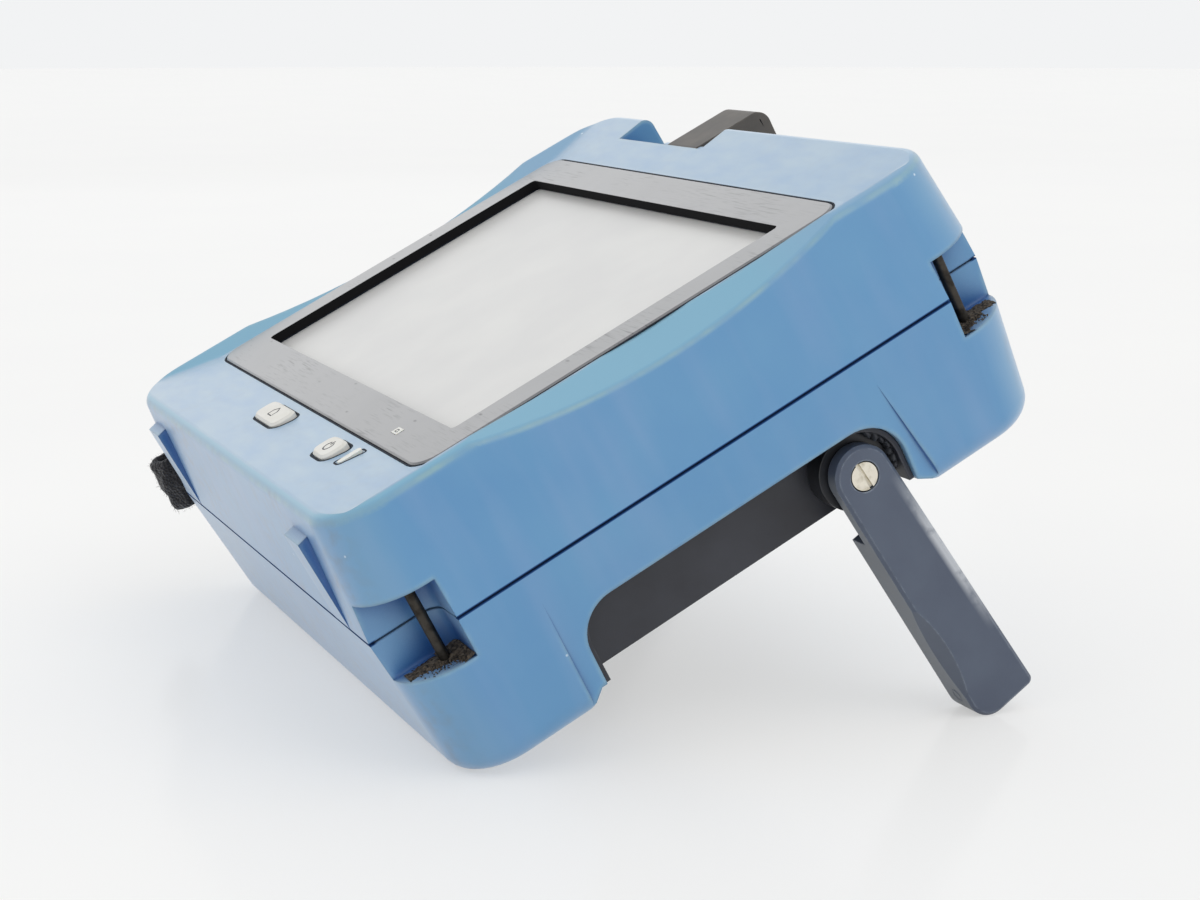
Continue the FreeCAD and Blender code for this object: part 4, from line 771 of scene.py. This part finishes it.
class REFL_OT_buttons(bpy.types.Operator):
    """Finish the two buttons and their light, with the outlined marks and the dark lips of painted shade round
    the openings
    """
    bl_idname = "refl.buttons"
    bl_label = "Buttons"

    def execute(self, context):
        # ABS, moulded in ivory: smooth, slightly warm, a little yellowed at the edges.
        ivory = moulded_plastic("ABS_moulded_ivory", "#E9E8E3", "#E2E0D8", roughness=0.38, grit=0.4,
                                relief=0.004, edge=0.4, edge_colour="#D5CFC0", patch=5.0)
        dress(ivory, "home_button", "power_button")
        dress(led_window(), "status_light")
        # Pad-printed ink: thin flat grey lines.
        ink = moulded_plastic("Ink_pad_printed", "#55565A", "#606165", roughness=0.6)
        width = context.scene.refl_screen.mark_width
        house = [(-1.5, -1.2), (1.5, -1.2), (1.5, 0.7), (0.0, 1.9), (-1.5, 0.7), (-1.5, -1.2)]
        outline("home_mark", [house], "home_button", width, ink, "home_button")
        # an open ring of 300 degrees with a stem in its gap
        turns = [math.radians(60 - 300 * i / 20) for i in range(21)]
        ring = [(1.45 * math.cos(a), 1.45 * math.sin(a)) for a in turns]
        outline("power_mark", [ring, [(0.0, 0.5), (0.0, 1.9)]], "power_button", width, ink, "power_button")
        cell = [(-0.7, -0.45), (0.5, -0.45), (0.5, 0.45), (-0.7, 0.45), (-0.7, -0.45)]
        outline("battery_mark", [cell], "battery_indicator", width * 0.6, ink, "case")
        # Painted shade: a dark rubber lip round each opening and round the bezel stands in for the shade in
        # the gap there.
        rubber = sealing_rubber()
        face = surface_of("front_shell")
        for piece, node, grow, radius, wide in (
                ("home_button_shade_lip", "home_button", 0.55, 3.4, 0.55),
                ("power_button_shade_lip", "power_button", 0.55, 3.0, 0.55),
                ("status_light_shade_lip", "status_light", 0.55, 0.9, 0.55),
                ("bezel_shade_lip", "display_bezel", 0.45, 6.5, 0.5)):
            make_piece(piece, lambda bm: shade_lip_round(bm, node, grow, radius, wide, face), rubber, "case")
        return {"FINISHED"}


class REFL_OT_legs(bpy.types.Operator):
    """Finish the legs, their pivots and the black inner case"""
    bl_idname = "refl.legs"
    bl_label = "Legs and inner case"

    def execute(self, context):
        look = context.scene.refl_legs
        # ABS, moulded with a fine spark-eroded grain: near black.
        black = moulded_plastic("ABS_moulded_black", look.black, look.black_rubbed, roughness=0.42, grit=0.6,
                                relief=0.015, edge=0.4, edge_colour="#5A5D62", patch=20.0)
        dress(black, "back_chassis", "battery_door", "battery_pack", "connector_panel", "dc_inlet")
        # Acetal, turned: smooth waxy black of the hinge discs.
        acetal = moulded_plastic("Acetal_turned_black", "#1D1E22", "#292B30", roughness=0.34,
                                 grit=0.4, relief=0.004, edge=0.3, edge_colour="#4A4D52", patch=6.0)
        # Nickel-plated steel, turned: warm bright metal with fine scratches.
        nickel = turned_metal("Steel_nickel_plated", "#E9E3D5", "#CBC4B2", 0.34, 2.0)
        for side in SIDES:
            dress(scuffed_nylon(look, "leg_" + side, "hinge_hub_" + side), "leg_" + side)
            dress(acetal, "hinge_hub_" + side, "hinge_washer_" + side)
            dress(nickel, "pivot_screw_" + side)
        return {"FINISHED"}


class REFL_OT_ports(bpy.types.Operator):
    """Finish the optical ports, their flap and the connectors"""
    bl_idname = "refl.ports"
    bl_label = "Ports"

    def execute(self, context):
        # Brass, nickel plated and turned: bright pale metal of the optical ports.
        nickel = turned_metal("Brass_nickel_plated", "#D2D0CB", "#B5B2AA", 0.28, 2.0)
        dress(nickel, "optical_port", "visual_fault_port", "usb_port", "micro_usb_port")
        # Polypropylene, moulded: dusty dark grey of the hinged cover.
        cover = moulded_plastic("Polypropylene_moulded_dusty", "#4B4845", "#5D5852", grit=0.5,
                                relief=0.015, edge=0.6, edge_colour="#7F776C", patch=7.0)
        dress(cover, "port_flap")
        return {"FINISHED"}


def post_turns(post, first, last):
    """Plan points of the strap's way round a post, every 45 degrees."""
    wrap = 2.8
    angles = [math.radians(a) for a in range(first, last, -45)]
    return [(post.x + wrap * math.sin(a), post.y - wrap * math.cos(a)) for a in angles]


def strap_route():
    """Plan points of the strap's bow along the left side, its turns round both posts and its front fold."""
    front, rear = middle_of("strap_post_front_left"), middle_of("strap_post_rear_left")
    wall = -WIDTH / 2
    side, start, end = wall - 1.5, front.y + 3.0, rear.y - 3.0
    depth, steps = 8.0, 12
    bow = [(side - depth * math.sin(math.pi * i / steps) ** 2, start + (end - start) * i / steps)
           for i in range(steps + 1)]
    round_front = post_turns(front, 510, 239)
    fold = [round_front[-1], (wall + 5.0, 3.6), (wall + 4.3, -0.2), (wall + 1.6, -2.9), (wall - 1.5, -2.0),
            (wall - 2.4, 1.6), (wall - 2.2, 7.0), (side, start + 4.0)]
    return bow, post_turns(rear, 300, 29), round_front, fold


def bowed_webbing(bm):
    """The bow with its turn round the rear post, and the end that comes back round the front one."""
    bow, round_rear, round_front, _ = strap_route()
    level = middle_of("hand_strap").z
    back = [(bow[1][0] + 2.4, bow[1][1]), (bow[0][0] + 2.6, bow[0][1]), (bow[0][0] + 5.0, bow[0][1])]
    for plan in (bow + round_rear, back + round_front):
        sweep(bm, plan_path(plan, level, 4), pill_section(1.0 * MM, 7.4 * MM))


def folded_pile(bm):
    """The hook-and-loop end folded round the front corner: a thick ragged ribbon with a slack middle."""
    path = plan_path(strap_route()[3], middle_of("hand_strap").z + 1.2, 6)
    # points across each face, and half of the ribbon's width in millimetres
    rows, half = 16, 7.9
    rings = []
    for k, (point, side) in enumerate(zip(path, in_plane_sides(path))):
        ring = []
        for around in range(2 * rows):
            face = 1 if around < rows else -1
            up = face * (2 * half * (around % rows) / (rows - 1) - half)
            thick = 1.3 + 0.3 * math.cos(up / half * math.pi * 2) - 1.0 * abs(up / half) ** 6
            place = point + side * face * thick * MM + OUT * up * MM
            rough = noise.noise(place * 900.0) * 0.45 + noise.noise(place * 2600.0) * 0.25
            slack = 0.5 * math.sin(k * 0.9 + up * 0.4)
            ring.append(bm.verts.new(place + side * (face * rough + 0.3 * slack) * MM
                                     + OUT * (0.5 * noise.noise(place * 700.0)) * MM))
        rings.append(ring)
    bridge(bm, rings)
    rng = random.Random(7)
    for _ in range(look_count("curls")):
        k = rng.randrange(2, len(rings) - 2)
        root = rng.choice(rings[k]).co.copy()
        out = (root - path[k]).normalized()
        lean = Vector([rng.uniform(-0.8, 0.8) for _ in range(3)])
        tall = rng.uniform(0.4, 1.0) * MM
        strand(bm, [root, root + (out + lean * 0.3) * tall * 0.7, root + (out * 0.8 + lean) * tall], 0.06 * MM)


class REFL_OT_strap(bpy.types.Operator):
    """Make the woven hand strap and its napped fold at the front corner"""
    bl_idname = "refl.strap"
    bl_label = "Hand strap"

    def execute(self, context):
        look = context.scene.refl_strap
        bow = make_piece("hand_strap_webbing", bowed_webbing, woven_nylon(look), "case")
        fold = make_piece("hand_strap_pile", folded_pile, napped_loop(look), "case")
        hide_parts("hand_strap")
        fold.modifiers.new("rounded", "SUBSURF").levels = 1
        return {"FINISHED"}


def dust_heap(bm, end, inward, size):
    """A heap with loose grains and lint, thickest round the post and along the inner wall."""
    rng = random.Random(end)
    post = middle_of("strap_post_%s_right" % end)
    floor = surface_of("rear_shell")
    side = WIDTH / 2
    wall = post.y + inward * 5.0
    level = in_case(floor.ray_cast(spot(post.x, post.y - 3 * inward, SEAM_Z), -OUT, RAY)[0]).z

    def landing(x, y):
        """Where a thing dropped there comes to rest, if that is the pocket's floor."""
        hit = floor.ray_cast(spot(x, y, SEAM_Z), -OUT, RAY)[0]
        return None if hit is None or abs(in_case(hit).z - level) > LEVEL_SLACK else hit

    # a net over the pocket, heaped round the post, along the inner wall and in the middle
    net = {}
    columns, rows = 64, 70
    wide, long = 12.6, 14.3
    for i in range(columns):
        for j in range(rows):
            x = side - 13.0 + wide * i / (columns - 1)
            y = post.y + inward * (-9.0 + long * j / (rows - 1))
            hit = landing(x, y)
            if hit is None:
                continue
            away = math.hypot(x - post.x, y - post.y)
            high = 0.8 * math.exp(-(away / 3.0) ** 2) + 1.1 * math.exp(-((y - wall) / 2.8) ** 2)
            high += 0.6 * math.exp(-((x - side + 10.5) / 3.0) ** 2) - 0.3
            high += sum(share * noise.noise(hit * scale)
                        for share, scale in ((0.2, 420.0), (0.14, 1500.0), (0.12, 4000.0)))
            net[i, j] = bm.verts.new(hit + OUT * high * MM)
    for i, j in list(net):
        around = [(i, j), (i + 1, j), (i + 1, j + 1), (i, j + 1)]
        if all(key in net for key in around):
            bm.faces.new([net[key] for key in around])
    # half of the loose grains lie round the post and most others along the inner wall
    for _ in range(look_count("grains")):
        spread = rng.random()
        if spread < 0.5:
            angle = rng.uniform(0, 2 * math.pi)
            reach = 1.5 + abs(rng.gauss(0, 1.6))
            x, y = post.x + reach * math.cos(angle), post.y + reach * math.sin(angle)
        elif spread < 0.85:
            x, y = rng.uniform(side - 12, side - 1.5), post.y + inward * (4.6 - abs(rng.gauss(0, 1.2)))
        else:
            x, y = rng.uniform(side - 13, side - 3), post.y + rng.uniform(-7, 4)
        hit = landing(x, y)
        if hit is not None:
            radius = size * rng.uniform(0.45, 1.35)
            grit(bm, hit + OUT * radius * rng.uniform(0.2, 1.5), radius, rng)
    # threads of lint that curl over the heap
    for _ in range(look_count("grains") // 8):
        hit = landing(rng.uniform(side - 12, side - 2), post.y + inward * rng.uniform(1.0, 4.6))
        if hit is None:
            continue
        path = [hit + OUT * 0.3 * MM]
        turn = rng.uniform(0, 2 * math.pi)
        for _ in range(4):
            turn += rng.uniform(-0.9, 0.9)
            path.append(path[-1] + ACROSS * math.cos(turn) * 0.7 * MM + ALONG * math.sin(turn) * 0.7 * MM
                        + OUT * rng.uniform(-0.05, 0.35) * MM)
        strand(bm, path, 0.05 * MM)


class REFL_OT_dust(bpy.types.Operator):
    """Scatter dry dust and lint in the two strap pockets on the right"""
    bl_idname = "refl.dust"
    bl_label = "Pocket dust"

    def execute(self, context):
        look = context.scene.refl_strap
        material = packed_dust(look)
        for end, inward in ENDS.items():
            make_piece("pocket_dust_" + end, lambda bm: dust_heap(bm, end, inward, look.grain_size), material,
                       "case")
        return {"FINISHED"}


def ejector_mark(bm, side):
    """A shallow ring with a sunk middle on the leg's narrow front side, near its tip."""
    pivot = spot(*middle_of("hinge_hub_" + side))
    down, rear, reach = leg_directions("leg_" + side, pivot)
    low, high = extent("leg_" + side)
    middle = Vector(((low.x + high.x) / 2, pivot.y, pivot.z)) + down * reach * 0.88
    hit, normal = surface_of("leg_" + side).ray_cast(middle - rear * 30 * MM, rear, 50 * MM)[:2]
    if hit is None:
        raise RuntimeError("The leg's front side was not found.")
    first = normal.cross(ACROSS).normalized()
    spokes = [first * math.cos(a) + ACROSS * math.sin(a) for a in (math.tau * i / 24 for i in range(24))]
    # (radius, height) of each ring in millimetres, from the outside in
    rings = [[bm.verts.new(hit + spoke * radius * MM + normal * up * MM) for spoke in spokes]
             for radius, up in ((1.9, -0.1), (1.75, 0.12), (1.35, 0.12), (1.2, -0.06), (0.4, -0.03))]
    bridge(bm, rings, start=False)


def detent_teeth(bm, side, sign):
    """Worn ratchet teeth along the rear half of the arch over the pivot."""
    hub = middle_of("hinge_hub_" + side)
    rng = random.Random(3)
    outer = 9.95  # radius of the teeth's feet on the arch, in millimetres
    x0, x1 = abs(hub.x) - 1.5, WIDTH / 2 - 5.2
    angles = [-24, -14, -3, 8, 19, 31, 43, 56]
    for first, last in zip(angles, angles[1:]):
        deep = rng.uniform(0.7, 1.7)
        profile = []
        for angle, radius in ((first + 1, outer), (first + 2, outer - deep), (first + 5, outer - deep * 0.9),
                              (last - 2, outer - 0.35), (last, outer)):
            turn = math.radians(angle)
            profile.append((hub.y + radius * math.cos(turn), hub.z + radius * math.sin(turn)))
        bridge(bm, [[bm.verts.new(spot(sign * x, y, z)) for y, z in profile]
                    for x in (x0, x1 + rng.uniform(-0.5, 0.3))])


class REFL_OT_detents(bpy.types.Operator):
    """Make the ratchet teeth round each leg pivot and the ejector mark on each leg"""
    bl_idname = "refl.detents"
    bl_label = "Leg detents"

    def execute(self, context):
        look = context.scene.refl_legs
        # Acetal, moulded and worn: dull black with rubbed tooth edges.
        black = moulded_plastic("Acetal_moulded_worn", look.black_rubbed, "#4A4D52", grit=0.5, relief=0.02,
                                edge=0.7, edge_colour="#7A7D82", patch=3.0)
        # Nylon, moulded: the small sunk disc left by the mould's ejector; its patches take the painted light
        # of the leg's front side.
        disc = moulded_plastic("Nylon_moulded_disc", look.slate, look.front_side_painted_light, grit=0.3, edge=0.8,
                               edge_colour="#A0A4A9", patch=1.5)
        for side, sign in SIDES.items():
            leg = "leg_" + side
            make_piece("detent_teeth_" + side, lambda bm: detent_teeth(bm, side, sign), black, "case")
            make_piece("ejector_mark_" + side, lambda bm: ejector_mark(bm, side), disc, leg)
        return {"FINISHED"}


def set_camera(scene, look):
    """A camera at the look's angles and distance from its aim point."""
    a, e = look.azimuth, look.elevation
    back = Vector((math.sin(a) * math.cos(e), -math.cos(a) * math.cos(e), math.sin(e)))
    data = bpy.data.cameras.new("camera")
    data.sensor_width = SENSOR
    data.lens = look.lens
    data.clip_start = 10 * MM
    scene.camera = aimed("camera", data, Vector(look.aim) + back * look.distance, -back)


def aimed(name, data, place, towards):
    """An object at a place that looks along a direction."""
    made = bpy.data.objects.new(name, data)
    bpy.context.scene.collection.objects.link(made)
    made.location = place
    made.rotation_mode = "QUATERNION"
    made.rotation_quaternion = towards.to_track_quat("-Z", "Y")
    return made


def seen_rays(tree):
    """1 for rays that show the background itself or its mirror image."""
    path = add(tree, "LightPath").outputs
    found = path["Is Camera Ray"]
    for ray in ("Is Transmission Ray", "Is Glossy Ray"):
        found = add(tree, "Math", [found, path[ray]], operation="MAXIMUM")
    return found


def set_world(scene, look):
    """White light from all round, with a pale wall where the background itself is seen."""
    world = bpy.data.worlds.new("studio")
    scene.world = world
    world.use_nodes = True
    tree = world.node_tree
    tree.nodes.clear()
    lit = add(tree, "Background", {"Color": "#FFFFFF", "Strength": look.sky})
    wall = add(tree, "Background", {"Color": look.backdrop, "Strength": 1.0})
    both = add(tree, "MixShader", [seen_rays(tree), lit, wall])
    add(tree, "OutputWorld", {"Surface": both})


def set_floor(scene, look):
    """A wide round table top with a slight gloss."""
    made, tree, place = new_material("Laminate_white_satin")
    colour = layered(tree, look.floor, (blotches(tree, place, 160.0, 0.4, 0.6), "#F8F8F8"))
    finish(made, Roughness=0.16, IOR=1.3, Specular_IOR_Level=0.12, Base_Color=colour)
    # bright opal top: as seen, part of its white comes from within, so shadows on it stay pale
    glow = add(tree, "Emission", {"Color": look.floor, "Strength": 1.0})
    share = add(tree, "Math", [seen_rays(tree), look.opal], operation="MULTIPLY")
    both = add(tree, "MixShader", [share, tree.nodes["Principled BSDF"], glow])
    feed(tree, tree.nodes["Material Output"].inputs["Surface"], both)
    bm = bmesh.new()
    bmesh.ops.create_circle(bm, cap_ends=True, segments=96, radius=FLOOR_RADIUS)
    mesh = bpy.data.meshes.new("floor")
    bm.to_mesh(mesh)
    bm.free()
    mesh.materials.append(made)
    floor = bpy.data.objects.new("floor", mesh)
    scene.collection.objects.link(floor)
    floor.location.z = cad_box[0].z - FLOOR_DROP


def set_panels():
    """Two soft panels: a wide one behind on the left for sheen, one above on the right."""
    middle = (cad_box[0] + cad_box[1]) / 2
    for name, direction, distance, size, power in (
            ("panel_behind", (-0.906, 0.063, 0.44), 1.6, (2.0, 1.1), 1.5),
            ("panel_above", (0.75, 0.25, 0.75), 1.5, (1.0, 1.0), 2.5)):
        data = bpy.data.lights.new(name, "AREA")
        data.shape = "RECTANGLE"
        data.size, data.size_y = size
        data.energy = power
        away = Vector(direction).normalized()
        aimed(name, data, middle + away * distance, -away)


class REFL_OT_stage(bpy.types.Operator):
    """Set up the camera, the soft light and the pale floor"""
    bl_idname = "refl.stage"
    bl_label = "Stage"

    def execute(self, context):
        scene, look = context.scene, context.scene.refl_stage
        scene.view_settings.view_transform = "Standard"
        set_camera(scene, look)
        set_world(scene, look)
        set_floor(scene, look)
        set_panels()
        return {"FINISHED"}


class REFL_PT_panel(bpy.types.Panel):
    """Lists the groups of the reflectometer's dressing"""
    bl_label = "Reflectometer"
    bl_idname = "REFL_PT_panel"
    bl_space_type = "VIEW_3D"
    bl_region_type = "UI"
    bl_category = "Reflectometer"

    def draw(self, context):
        for operator in OPERATORS:
            self.layout.operator(operator.bl_idname)
        for group in SCENE_GROUPS:
            box = self.layout.box()
            for key in SCENE_GROUPS[group].__annotations__:
                box.prop(getattr(context.scene, group), key)


OPERATORS = (REFL_OT_stage, REFL_OT_case, REFL_OT_screen, REFL_OT_buttons, REFL_OT_legs, REFL_OT_ports,
             REFL_OT_detents, REFL_OT_strap, REFL_OT_dust)


def register():
    for cls in (*SCENE_GROUPS.values(), *OPERATORS, REFL_PT_panel):
        bpy.utils.register_class(cls)
    for name, group in SCENE_GROUPS.items():
        setattr(bpy.types.Scene, name, bpy.props.PointerProperty(type=group))


def unregister():
    for name in SCENE_GROUPS:
        delattr(bpy.types.Scene, name)
    for cls in (REFL_PT_panel, *reversed(OPERATORS), *reversed(tuple(SCENE_GROUPS.values()))):
        bpy.utils.unregister_class(cls)


def main():
    register()
    bpy.ops.refl.stage()
    bpy.ops.refl.case()
    bpy.ops.refl.screen()
    bpy.ops.refl.buttons()
    bpy.ops.refl.legs()
    bpy.ops.refl.ports()
    bpy.ops.refl.detents()
    bpy.ops.refl.strap()
    bpy.ops.refl.dust()


if __name__ == "__main__":
    main()
